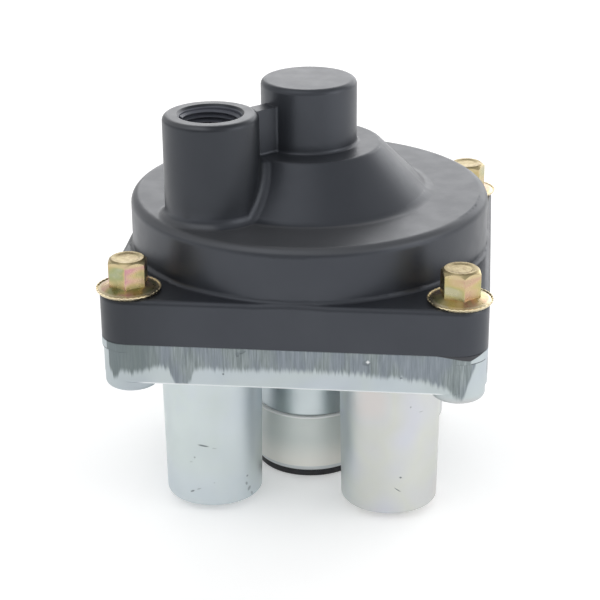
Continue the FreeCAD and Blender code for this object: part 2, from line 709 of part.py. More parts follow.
def make_shield():
    shield = new_body("exhaust_shield")
    bead = "neck_radius - snap_cut + guide_gap"
    base = turn(shield, "Revolution", "ShieldWall", [
        ("neck_radius + guide_gap", below("shield_top")),
        ("shield_top_radius", below("shield_top")),
        ("shield_rim_radius", below("shield_rim")),
        ("shield_rim_radius - shield_wall / 3", below("shield_foot")),
        ("shield_rim_radius - shield_wall", below("shield_foot")),
        ("neck_radius + guide_gap", below("neck_depth")),
        ("neck_radius + guide_gap", below("snap_depth + snap_height - guide_gap")),
        (bead, below("snap_depth + snap_height - guide_gap")),
        (bead, below("snap_depth + snap_height / 2")),
        ("neck_radius + guide_gap", below("snap_depth + guide_gap")),
    ])
    hub = new_sketch(shield, "HubCircle", "XY_Plane", below(DIAPHRAGM_TOP))
    draw_circle(hub, "shield_hub_radius")
    base = extrude(shield, "Pad", "Hub", hub, "shield_arm_height + shield_wall")
    arm = new_sketch(shield, "ArmOutline", "XY_Plane", below(DIAPHRAGM_TOP))
    reach = "(neck_radius + shield_rim_radius - shield_wall) / 2 + shield_wall / 2"
    draw_outline(arm, [
        ("0", "-shield_arm_width / 2"),
        (reach, "-shield_arm_width / 2"),
        (reach, "shield_arm_width / 2"),
        ("0", "shield_arm_width / 2"),
    ])
    first_arm = extrude(shield, "Pad", "Arm", arm, "shield_arm_height")
    arms = shield.newObject("PartDesign::PolarPattern", "Arms")
    arms.Originals = [first_arm]
    arms.Axis = (arm, ["N_Axis"])
    arms.Angle = 360
    arms.Occurrences = 3
    shield.Tip = arms
    DOC.recompute()
    hole = new_sketch(shield, "ButtonHole", "XY_Plane", below(DIAPHRAGM_TOP))
    draw_circle(hole, "button_shank_radius + thread_gap")
    base = extrude(shield, "Pocket", "ButtonPocket", hole,
                   "shield_arm_height + shield_wall / 2", True)
    return finish_body(shield, base)


def make_diaphragm():
    """A dished rubber disc: flat ring below the shield's rim, middle clamped to the hub."""
    diaphragm = new_body("exhaust_diaphragm")
    base = turn(diaphragm, "Revolution", "DiaphragmDisc", [
        ("button_shank_radius + thread_gap", below(DIAPHRAGM_TOP)),
        ("washer_radius", below(DIAPHRAGM_TOP)),
        ("diaphragm_bead", below("shield_foot")),
        ("diaphragm_radius", below("shield_foot")),
        ("diaphragm_radius", below("diaphragm_foot")),
        ("diaphragm_bead", below("diaphragm_foot")),
        ("washer_radius", below("%s + diaphragm_sheet" % DIAPHRAGM_TOP)),
        ("button_shank_radius + thread_gap", below("%s + diaphragm_sheet" % DIAPHRAGM_TOP)),
    ])
    return finish_body(diaphragm, dress(diaphragm, "Fillet", "DiaphragmRim", base,
                                        ring_at("diaphragm_radius", below("diaphragm_foot")),
                                        "diaphragm_sheet / 2"))


def make_diaphragm_screw():
    clamp_level = "%s + diaphragm_sheet" % DIAPHRAGM_TOP
    make_turned("diaphragm_washer", [
        ("button_shank_radius + thread_gap", below(clamp_level)),
        ("washer_radius", below(clamp_level)),
        ("washer_radius", below("%s + washer_thickness" % clamp_level)),
        ("button_shank_radius + thread_gap", below("%s + washer_thickness" % clamp_level)),
    ])
    head_level = "%s + washer_thickness" % clamp_level
    screw = new_body("diaphragm_screw")
    base = turn(screw, "Revolution", "ButtonTurning", [
        ("0", below("shield_arm_top - shield_wall / 4")),
        ("button_shank_radius", below("shield_arm_top - shield_wall / 4")),
        ("button_shank_radius", below(head_level)),
        ("button_head_radius", below(head_level)),
        ("button_head_radius", below("%s + button_head" % head_level)),
        ("0", below("%s + button_head" % head_level)),
    ])
    base = dress(screw, "Fillet", "ButtonCrown", base,
                 ring_at("button_head_radius", below("%s + button_head" % head_level)),
                 "button_head * 0.6")
    slot = new_sketch(screw, "ButtonCross", "XY_Plane", below("%s + button_head" % head_level))
    arm, half = "button_head_radius * 0.6", "button_head_radius * 0.15"
    draw_outline(slot, [
        (arm, "-(%s)" % half), (arm, half), (half, half), (half, arm),
        ("-(%s)" % half, arm), ("-(%s)" % half, half), ("-(%s)" % arm, half),
        ("-(%s)" % arm, "-(%s)" % half), ("-(%s)" % half, "-(%s)" % half),
        ("-(%s)" % half, "-(%s)" % arm), (half, "-(%s)" % arm), (half, "-(%s)" % half),
    ])
    return finish_body(screw, extrude(screw, "Pocket", "ButtonRecess", slot,
                                      "button_head * 0.6", True))


# Cover screws

def make_screw(label, sign_x, sign_y):
    """A hexagon flange screw at one corner, standing on the cover flange."""
    screw = new_body(label)
    seat = above("cover_flange")
    hexagon = new_sketch(screw, label + "_hexagon", "XY_Plane",
                         "%s + screw_flange_rim" % seat)
    corner = "screw_head_flats / sqrt(3)"
    draw_outline(hexagon, [
        (corner, "0"), ("%s / 2" % corner, "screw_head_flats / 2"),
        ("-%s / 2" % corner, "screw_head_flats / 2"), ("-%s" % corner, "0"),
        ("-%s / 2" % corner, "-screw_head_flats / 2"), ("%s / 2" % corner, "-screw_head_flats / 2"),
    ])
    head = extrude(screw, "Pad", label + "_head", hexagon, "screw_head_height - screw_flange_rim")
    top = "%s + screw_head_height" % seat
    turn(screw, "Groove", label + "_corner_cut", [
        ("screw_head_flats / 2", top),
        ("screw_head_flats / sqrt(3) + screw_head_chamfer", top),
        ("screw_head_flats / sqrt(3) + screw_head_chamfer",
         "%s - screw_head_chamfer * 1.6" % top),
    ])
    base = turn(screw, "Revolution", label + "_flange", [
        ("0", "%s - screw_length" % seat),
        ("screw_radius", "%s - screw_length" % seat),
        ("screw_radius", seat),
        ("screw_flange_radius", seat),
        ("screw_flange_radius", "%s + screw_flange_rim" % seat),
        ("screw_head_flats / 2", "%s + screw_flange_rise" % seat),
        ("0", "%s + screw_flange_rise" % seat),
    ])
    finish_body(screw, base)
    tie(screw, "Placement.Base.x", "%d * screw_offset" % sign_x)
    tie(screw, "Placement.Base.y", "%d * screw_offset" % sign_y)
    screw.Placement.Rotation = FreeCAD.Rotation(UP, SCREW_TURNS[label])
    DOC.recompute()
    return screw


SCREW_PLACES = {
    "cover_screw_rear_right": (1, 1),
    "cover_screw_rear_left": (-1, 1),
    "cover_screw_front_left": (-1, -1),
    "cover_screw_front_right": (1, -1),
}
# How far each head happened to be turned when it was tightened, in degrees
SCREW_TURNS = {
    "cover_screw_rear_right": 12,
    "cover_screw_rear_left": 41,
    "cover_screw_front_left": 26,
    "cover_screw_front_right": 30,
}


def build():
    fill_sheet()
    make_cover()
    make_body()
    make_ring("cover_seal_ring", "seal_groove_radius", "seal_section",
              below("seal_section / 2"))
    make_piston()
    make_ring("piston_ring", "%s - piston_ring_section / 2" % PISTON_RADIUS,
              "piston_ring_section", above("(%s + %s) / 2" % (GROOVE_TOP, GROOVE_BOTTOM)))
    make_spring("piston_return_spring", "return_spring_radius", "return_spring_wire",
                "return_spring_turns", below("chamber_depth"), above("piston_top - piston_crown"))
    make_valve()
    make_spring("valve_spring", "valve_spring_radius", "valve_spring_wire",
                "valve_spring_turns", below("guide_depth"),
                below("%s + valve_plate" % VALVE_BACK))
    make_guide()
    make_retaining_ring()
    make_shield()
    make_diaphragm()
    make_diaphragm_screw()
    for label, (sign_x, sign_y) in SCREW_PLACES.items():
        make_screw(label, sign_x, sign_y)


NODES = [
    "cover", "body", "cover_seal_ring", "relay_piston", "piston_ring", "piston_return_spring",
    "valve_face", "valve_stem", "valve_spring", "valve_guide", "guide_outer_ring",
    "guide_inner_ring", "retaining_ring", "exhaust_shield", "exhaust_diaphragm",
    "diaphragm_washer", "diaphragm_screw",
] + list(SCREW_PLACES)


def check_document():
    for thing in DOC.Objects:
        if "Invalid" in thing.State or "Error" in thing.State:
            raise RuntimeError("%s failed: %s" % (thing.Name, thing.State))
    for label in NODES:
        shape = DOC.getObjectsByLabel(label)[0].Shape
        if shape.isNull() or not shape.isValid():
            raise RuntimeError("bad shape: " + label)


def write_parts():
    os.makedirs("parts", exist_ok=True)
    for label in NODES:
        shape = DOC.getObjectsByLabel(label)[0].Shape
        shape.exportStep("parts/%s.step" % label)
        box = shape.BoundBox
        print("%-26s solids %d volume %9.1f  z %.2f to %.2f" % (
            label, len(shape.Solids), shape.Volume, box.ZMin, box.ZMax))


build()
check_document()
write_parts()
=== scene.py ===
"""Air brake relay valve: finishes, threads, cover screws, light and camera.

Metres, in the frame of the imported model: +Z up along the valve axis, the supply port
faces +Y, the origin lies on the axis at the level the valve rests on.
"""
import bpy
import json
import math
from mathutils import Matrix, Vector


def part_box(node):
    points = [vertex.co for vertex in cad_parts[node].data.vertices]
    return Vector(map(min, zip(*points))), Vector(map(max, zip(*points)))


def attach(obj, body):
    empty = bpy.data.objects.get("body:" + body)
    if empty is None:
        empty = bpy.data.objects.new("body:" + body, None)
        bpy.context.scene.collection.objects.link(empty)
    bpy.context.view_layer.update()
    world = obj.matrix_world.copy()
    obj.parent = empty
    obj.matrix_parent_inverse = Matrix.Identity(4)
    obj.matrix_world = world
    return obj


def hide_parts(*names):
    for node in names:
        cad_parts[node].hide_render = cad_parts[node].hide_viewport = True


MM = 0.001

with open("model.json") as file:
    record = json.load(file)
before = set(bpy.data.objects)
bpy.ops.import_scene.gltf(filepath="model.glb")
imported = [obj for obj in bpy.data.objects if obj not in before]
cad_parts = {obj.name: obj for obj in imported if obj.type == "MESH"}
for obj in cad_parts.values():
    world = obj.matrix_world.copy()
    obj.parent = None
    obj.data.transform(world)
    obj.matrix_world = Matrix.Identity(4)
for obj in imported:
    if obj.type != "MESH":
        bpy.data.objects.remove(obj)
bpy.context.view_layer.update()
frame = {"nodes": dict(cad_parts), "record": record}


# Levels and places taken from the frame

def top_of(node):
    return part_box(node)[1].z


def foot_of(node):
    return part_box(node)[0].z


def mount(name):
    """Place, axis and radius of one of the record's mounts."""
    for row in frame["record"]["mounts"]:
        if row["name"] == name:
            return Vector(row["pos_m"]), Vector(row["axis"]), row["dims"].get("r_mm", 0.0) * MM, row
    raise KeyError(name)


JOINT = top_of("body")
FLANGE_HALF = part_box("body")[1].x
FLANGE_FOOT = JOINT - 11.6 * MM
COVER_STEP = 74.0 * MM
DRUM_TOP = 80.0 * MM
PORT_BOSS_RADIUS = 14.5 * MM
NECK_RADIUS = 13.3 * MM
HEAD_TOP = top_of("cover_screw_front_left")
HEAD_HEIGHT = 9.4 * MM
HEAD_SEAT = HEAD_TOP - HEAD_HEIGHT
SHIELD_FOOT = foot_of("exhaust_shield")
SHIELD_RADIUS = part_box("exhaust_shield")[1].x
SHIELD_LIP = 1.8 * MM
SHIELD_TOP = SHIELD_FOOT + 18.1 * MM
SLEEVE_RADIUS = 16.3 * MM


# Shader nodes

def feed(tree, value, socket):
    if isinstance(value, bpy.types.NodeSocket):
        tree.links.new(value, socket)
    else:
        socket.default_value = value


def calc(tree, operation, first, second=0.0, third=0.0, clamp=False):
    node = tree.nodes.new("ShaderNodeMath")
    node.operation = operation
    node.use_clamp = clamp
    for value, socket in zip((first, second, third), node.inputs):
        feed(tree, value, socket)
    return node.outputs[0]


def ranged(tree, value, low, high, to_low=0.0, to_high=1.0, soft=True):
    """The value's run from low to high, spread over another range and held there."""
    node = tree.nodes.new("ShaderNodeMapRange")
    node.interpolation_type = "SMOOTHSTEP" if soft else "LINEAR"
    feed(tree, value, node.inputs["Value"])
    for name, number in (("From Min", low), ("From Max", high), ("To Min", to_low), ("To Max", to_high)):
        feed(tree, number, node.inputs[name])
    return node.outputs["Result"]


def place(tree, scale=(1.0, 1.0, 1.0), shift=(0.0, 0.0, 0.0), turn=(0.0, 0.0, 0.0)):
    """Object coordinates, stretched, shifted and turned."""
    coordinates = tree.nodes.new("ShaderNodeTexCoord")
    mapping = tree.nodes.new("ShaderNodeMapping")
    mapping.inputs["Location"].default_value = shift
    mapping.inputs["Rotation"].default_value = turn
    mapping.inputs["Scale"].default_value = scale
    tree.links.new(coordinates.outputs["Object"], mapping.inputs["Vector"])
    return mapping.outputs["Vector"]


def parts_of(tree, vector):
    node = tree.nodes.new("ShaderNodeSeparateXYZ")
    tree.links.new(vector, node.inputs[0])
    return node.outputs["X"], node.outputs["Y"], node.outputs["Z"]


def distance_of(tree, across, deep):
    """How far a place lies from an upright axis."""
    return calc(tree, "SQRT", calc(tree, "ADD", calc(tree, "MULTIPLY", across, across),
                                   calc(tree, "MULTIPLY", deep, deep)))


def noise(tree, vector, scale, detail=3.0, roughness=0.5, warp=0.0):
    node = tree.nodes.new("ShaderNodeTexNoise")
    tree.links.new(vector, node.inputs["Vector"])
    node.inputs["Scale"].default_value = scale
    node.inputs["Detail"].default_value = detail
    node.inputs["Roughness"].default_value = roughness
    node.inputs["Distortion"].default_value = warp
    return node.outputs["Fac"]


def cells(tree, vector, scale):
    node = tree.nodes.new("ShaderNodeTexVoronoi")
    node.feature = "F1"
    tree.links.new(vector, node.inputs["Vector"])
    node.inputs["Scale"].default_value = scale
    return node.outputs["Distance"]


def colours(tree, value, stops):
    """A colour ramp with stops given as (place, colour)."""
    node = tree.nodes.new("ShaderNodeValToRGB")
    elements = node.color_ramp.elements
    while len(elements) < len(stops):
        elements.new(1.0)
    for element, (position, colour) in zip(elements, stops):
        element.position = position
        element.color = (*colour, 1.0)
    feed(tree, value, node.inputs["Fac"])
    return node.outputs["Color"]


def blend(tree, share, first, second):
    """The first colour, and as much of the second as the share says."""
    node = tree.nodes.new("ShaderNodeMix")
    node.data_type = "RGBA"
    node.blend_type = "MIX"
    feed(tree, share, node.inputs["Factor"])
    for value, socket in ((first, node.inputs[6]), (second, node.inputs[7])):
        feed(tree, value if isinstance(value, bpy.types.NodeSocket) else (*value, 1.0), socket)
    return node.outputs[2]


def bump(tree, height, distance, strength=1.0, before=None):
    node = tree.nodes.new("ShaderNodeBump")
    node.inputs["Strength"].default_value = strength
    node.inputs["Distance"].default_value = distance
    tree.links.new(height, node.inputs["Height"])
    if before is not None:
        tree.links.new(before, node.inputs["Normal"])
    return node.outputs["Normal"]


def soft_edges(tree, radius):
    """The surface's direction, with sharp edges broken by a small radius."""
    node = tree.nodes.new("ShaderNodeBevel")
    node.samples = 6
    node.inputs["Radius"].default_value = radius
    return node.outputs["Normal"]


def new_finish(name, metallic, **constants):
    """A material with its Principled shader; constants are set on the shader itself."""
    material = bpy.data.materials.new(name)
    material.use_nodes = True
    tree = material.node_tree
    shader = tree.nodes["Principled BSDF"]
    shader.inputs["Metallic"].default_value = metallic
    for key, value in constants.items():
        shader.inputs[key.replace("_", " ")].default_value = value
    return material, tree, shader


def finish_surface(tree, shader, colour, roughness, normal):
    feed(tree, colour, shader.inputs["Base Color"])
    feed(tree, roughness, shader.inputs["Roughness"])
    tree.links.new(normal, shader.inputs["Normal"])


# Finishes

def cover_coat():
    """Satin black coating over a die casting, with faint rub marks, painted shade on the port boss and the
    flange's left end, and a painted highlight on the drum's front roof and rim.
    """
    material, tree, shader = new_finish("cover_coat", 0.0, Specular_IOR_Level=0.70,
                                        Specular_Tint=(0.84, 0.89, 1.0, 1.0))
    here = place(tree)
    colour = colours(tree, noise(tree, here, 45.0, 4.0), [
        (0.30, (0.0170, 0.0190, 0.0240)),
        (0.70, (0.0240, 0.0265, 0.0315)),
    ])
    rubs = ranged(tree, noise(tree, place(tree, (260.0, 260.0, 320.0)), 1.0, 6.0, 0.7), 0.66, 0.80)
    colour = blend(tree, calc(tree, "MULTIPLY", rubs, 0.20), colour, (0.085, 0.088, 0.095))
    mouth, axis, bore, row = mount("control_port")
    off_x, off_y, up = parts_of(tree, place(tree, shift=(-mouth.x, -mouth.y, 0.0)))
    from_port = distance_of(tree, off_x, off_y)
    inside = calc(tree, "MULTIPLY", calc(tree, "LESS_THAN", from_port, bore + 0.2 * MM),
                  ranged(tree, up, mouth.z - 14.0 * MM, mouth.z))
    across, deep, high = parts_of(tree, here)
    # Painted shade: the port boss's upper side and the flange's left end are painted darker.
    port_boss_painted_shade = calc(tree, "MULTIPLY", calc(tree, "LESS_THAN", from_port, PORT_BOSS_RADIUS),
                        ranged(tree, high, 88.0 * MM, 92.0 * MM, 0.0, 0.70))
    flange_end_painted_shade = calc(tree, "MULTIPLY", ranged(tree, across, -52.0 * MM, -24.0 * MM, 1.0, 0.0),
                      calc(tree, "LESS_THAN", high, COVER_STEP))
    colour = blend(tree, calc(tree, "MAXIMUM", port_boss_painted_shade, flange_end_painted_shade), colour, (0.004, 0.005, 0.006))
    facing = parts_of(tree, tree.nodes.new("ShaderNodeTexCoord").outputs["Normal"])[2]
    from_axis = distance_of(tree, across, deep)
    # Painted highlight: the drum's front roof and its rim edge are painted lighter, standing in for the
    # reflection they catch.
    rim_painted_highlight = calc(tree, "MULTIPLY", ranged(tree, facing, 0.30, 0.60),
                  ranged(tree, from_axis, 43.0 * MM, 45.0 * MM))
    roof_front_painted_highlight = calc(tree, "MULTIPLY", calc(tree, "MAXIMUM", rim_painted_highlight, ranged(tree, facing, 0.90, 0.97)),
                ranged(tree, high, DRUM_TOP - 2.0 * MM, DRUM_TOP))
    roof_front_painted_highlight = calc(tree, "MULTIPLY", roof_front_painted_highlight, ranged(tree, deep, -30.0 * MM, -14.0 * MM, 0.9, 0.0))
    colour = blend(tree, roof_front_painted_highlight, colour, (0.052, 0.054, 0.058))
    colour = blend(tree, calc(tree, "MULTIPLY", inside, 0.8), colour, (0.085, 0.090, 0.110))
    roughness = ranged(tree, noise(tree, here, 160.0, 3.0, 0.6), 0.3, 0.7, 0.35, 0.40)
    rounded = soft_edges(tree, 0.35 * MM)
    grain = bump(tree, noise(tree, here, 1500.0, 3.0), 0.015 * MM, 0.5, rounded)
    finish_surface(tree, shader, colour, roughness, grain)
    return material


# Depth below the joint of the front's linishing at places across it, in millimetres
LINISHED_DEPTH = [
    (-52.0, 1.5), (-51.0, 4.0), (-50.2, 8.0), (-49.0, 10.4), (-48.2, 10.6), (-46.8, 7.9), (-44.0, 8.4),
    (-41.0, 8.0), (-38.0, 6.8), (-36.0, 6.2), (-33.4, 6.6), (-31.2, 11.8), (-28.4, 11.8), (-26.0, 6.6),
    (-20.0, 6.3), (-8.0, 6.1), (0.0, 5.8), (12.0, 5.9), (18.0, 6.2), (27.0, 6.8), (34.0, 7.2), (38.2, 8.1),
    (42.6, 9.4), (44.8, 12.6), (46.6, 12.6), (48.3, 7.4), (49.6, 3.4), (50.3, 0.0),
]
DEPTH_SPAN = 16.0
# Depth of the small step at the corners of the body's flange, in millimetres
RIM_STEP = 2.5


def side_line(tree, along, points):
    """A line drawn along a side: its height at each place, given as (place, height)."""
    curve = tree.nodes.new("ShaderNodeFloatCurve")
    tree.links.new(ranged(tree, along, -FLANGE_HALF, FLANGE_HALF, soft=False), curve.inputs["Value"])
    handles = curve.mapping.curves[0].points
    while len(handles) < len(points):
        handles.new(0.5, 0.5)
    for handle, (at, height) in zip(handles, points):
        handle.location = ((at * MM / FLANGE_HALF + 1.0) / 2.0, height / DEPTH_SPAN)
        handle.handle_type = "VECTOR"
    curve.mapping.update()
    return calc(tree, "MULTIPLY", curve.outputs[0], DEPTH_SPAN)


def linished_share(tree):
    """Where the flange's sides were linished: from the joint down to an uneven line."""
    across, deep, up = parts_of(tree, place(tree))
    side_x = calc(tree, "ABSOLUTE", across)
    side_y = calc(tree, "ABSOLUTE", deep)
    on_x_side = calc(tree, "GREATER_THAN", side_x, side_y)
    along = calc(tree, "ADD", calc(tree, "MULTIPLY", on_x_side, deep),
                 calc(tree, "MULTIPLY", calc(tree, "SUBTRACT", 1.0, on_x_side), across))
    depth = calc(tree, "DIVIDE", calc(tree, "SUBTRACT", JOINT, up), MM)
    ragged = noise(tree, place(tree, (1500.0, 1500.0, 60.0)), 1.0, 4.0, 0.7)
    line = calc(tree, "ADD", side_line(tree, along, LINISHED_DEPTH),
                ranged(tree, ragged, 0.3, 0.7, -0.7, 0.7))
    above_line = ranged(tree, calc(tree, "SUBTRACT", line, depth), -1.10, 1.00)
    round_corner = ranged(tree, side_y, FLANGE_HALF - 3.4 * MM, FLANGE_HALF - 2.6 * MM)
    flat_side = ranged(tree, side_x, FLANGE_HALF - 0.4 * MM, FLANGE_HALF - 0.1 * MM)
    on_side = calc(tree, "ADD", calc(tree, "MULTIPLY", on_x_side, flat_side),
                   calc(tree, "MULTIPLY", calc(tree, "SUBTRACT", 1.0, on_x_side), round_corner))
    above_rim = calc(tree, "LESS_THAN", depth, RIM_STEP)
    past_corner = ranged(tree, across, 48.2 * MM, 48.8 * MM)
    rim_end = calc(tree, "SUBTRACT", 1.0, calc(tree, "MULTIPLY", above_rim, past_corner))
    return calc(tree, "MULTIPLY", calc(tree, "MULTIPLY", above_line, on_side), rim_end), depth


def paint_flash(tree, depth):
    """Black coating that ran a little below the joint at the right front corner."""
    across, deep, up = parts_of(tree, place(tree))
    rise = ranged(tree, across, 39.0 * MM, 48.4 * MM, 0.0, 1.5, soft=False)
    fall = ranged(tree, across, 48.4 * MM, 51.8 * MM, 1.0, 0.0, soft=False)
    edge = calc(tree, "SUBTRACT", calc(tree, "MULTIPLY", rise, fall), depth)
    front = calc(tree, "LESS_THAN", deep, -44.0 * MM)
    return calc(tree, "MULTIPLY", ranged(tree, edge, -0.05, 0.12), front)


# Knocks and scratches seen on the front: across, height, half length and half width in millimetres,
# tilt in degrees and strength
FRONT_MARKS = [
    (-26.5, 21.9, 1.9, 0.32, -8.0, 1.0),
    (-23.4, 21.1, 0.8, 0.18, -10.0, 0.4),
    (-29.2, 17.8, 0.35, 0.35, 0.0, 0.6),
    (-30.3, 16.2, 0.6, 0.25, 20.0, 0.3),
    (-30.2, 6.6, 0.9, 0.34, 30.0, 0.9),
    (-28.2, 7.7, 0.9, 0.22, 22.0, 0.5),
    (-14.8, 10.0, 0.3, 0.4, 0.0, 0.8),
    (-15.0, 7.6, 0.35, 0.7, 10.0, 0.7),
    (-14.4, 5.6, 0.45, 0.9, -15.0, 0.7),
    (-13.8, 3.6, 0.3, 0.8, 12.0, 0.6),
    (-38.4, 2.2, 0.3, 0.4, 0.0, 0.6),
    (-23.7, 9.9, 0.3, 0.2, 0.0, 0.4),
    (29.7, 14.1, 0.42, 0.36, 0.0, 1.0),
    (28.9, 10.2, 1.5, 0.22, -38.0, 0.9),
    (35.0, 33.9, 0.7, 0.14, 0.0, 0.5),
    (-18.3, 50.3, 0.36, 0.34, 0.0, 1.0),
    (-14.3, 56.4, 0.7, 0.9, 10.0, 0.8),
    (-13.0, 57.1, 1.6, 0.5, 25.0, 0.6),
    (20.6, 55.3, 1.5, 1.0, 0.0, 0.7),
    (30.0, 51.2, 0.5, 0.36, 0.0, 0.8),
    (-45.3, 42.9, 0.45, 0.35, 0.0, 0.8),
]


def front_marks(tree):
    """A share from 0 to 1 on the marks of the front."""
    deep = parts_of(tree, place(tree))[1]
    total = None
    for across, height, half_length, half_width, tilt, strength in FRONT_MARKS:
        coordinates = tree.nodes.new("ShaderNodeTexCoord")
        mapping = tree.nodes.new("ShaderNodeMapping")
        mapping.vector_type = "TEXTURE"
        mapping.inputs["Location"].default_value = (across * MM, 0.0, height * MM)
        mapping.inputs["Rotation"].default_value = (0.0, math.radians(-tilt), 0.0)
        mapping.inputs["Scale"].default_value = (half_length * MM, 1000.0, half_width * MM)
        tree.links.new(coordinates.outputs["Object"], mapping.inputs["Vector"])
        size = tree.nodes.new("ShaderNodeVectorMath")
        size.operation = "LENGTH"
        tree.links.new(mapping.outputs["Vector"], size.inputs[0])
        mark = ranged(tree, size.outputs["Value"], 0.45, 1.0, strength, 0.0)
        total = mark if total is None else calc(tree, "MAXIMUM", total, mark)
    return calc(tree, "MULTIPLY", total, calc(tree, "LESS_THAN", deep, -30.0 * MM))


def neck_shares(tree):
    """Shares for the turned neck, and for its sides, where a painted shade darkens them."""
    across, deep, up = parts_of(tree, place(tree))
    from_axis = distance_of(tree, across, deep)
    on_neck = calc(tree, "MULTIPLY", calc(tree, "LESS_THAN", from_axis, SLEEVE_RADIUS + 0.5 * MM),
                   calc(tree, "LESS_THAN", up, FLANGE_FOOT + 0.5 * MM))
    return on_neck, calc(tree, "MULTIPLY", on_neck,
                         ranged(tree, calc(tree, "ABSOLUTE", across), 7.5 * MM, 10.5 * MM, 0.0, 0.30))


def edge_painted_highlight(tree):
    """The flange's rounded lower edge, painted bright as a highlight."""
    across, deep, up = parts_of(tree, place(tree))
    wide, narrow = calc(tree, "ABSOLUTE", across), calc(tree, "ABSOLUTE", deep)
    low = calc(tree, "MULTIPLY", ranged(tree, up, FLANGE_FOOT + 0.25 * MM, FLANGE_FOOT + 0.75 * MM, 1.0, 0.0),
               calc(tree, "GREATER_THAN", up, FLANGE_FOOT - 0.1 * MM))
    outside = calc(tree, "GREATER_THAN", calc(tree, "MAXIMUM", wide, narrow), FLANGE_HALF - 0.9 * MM)
    between_lugs = ranged(tree, calc(tree, "MINIMUM", wide, narrow), 39.5 * MM, 42.5 * MM, 1.0, 0.0)
    return calc(tree, "MULTIPLY", calc(tree, "MULTIPLY", low, outside), between_lugs)


def corner_step(tree, depth):
    """The shaded foot of the small step round the flange's corners."""
    across, deep, up = parts_of(tree, place(tree))
    inner = calc(tree, "MINIMUM", calc(tree, "ABSOLUTE", across), calc(tree, "ABSOLUTE", deep))
    line = ranged(tree, calc(tree, "ABSOLUTE", calc(tree, "SUBTRACT", depth, RIM_STEP)), 0.12, 0.34, 1.0, 0.0)
    at_corner = ranged(tree, inner, FLANGE_HALF - 5.2 * MM, FLANGE_HALF - 4.4 * MM)
    return calc(tree, "MULTIPLY", calc(tree, "MULTIPLY", line, at_corner), 0.85)


def ding_painted_highlight(tree):
    """A painted highlight on the lower side of a small dent high on the flange's front."""
    across, deep, up = parts_of(tree, place(tree, shift=(-21.0 * MM, 0.0, -55.5 * MM)))
    off = calc(tree, "ADD", calc(tree, "ABSOLUTE", across), calc(tree, "ABSOLUTE", up))
    return calc(tree, "MULTIPLY", ranged(tree, off, 0.15 * MM, 0.85 * MM, 0.75, 0.0),
                calc(tree, "LESS_THAN", deep, -30.0 * MM))


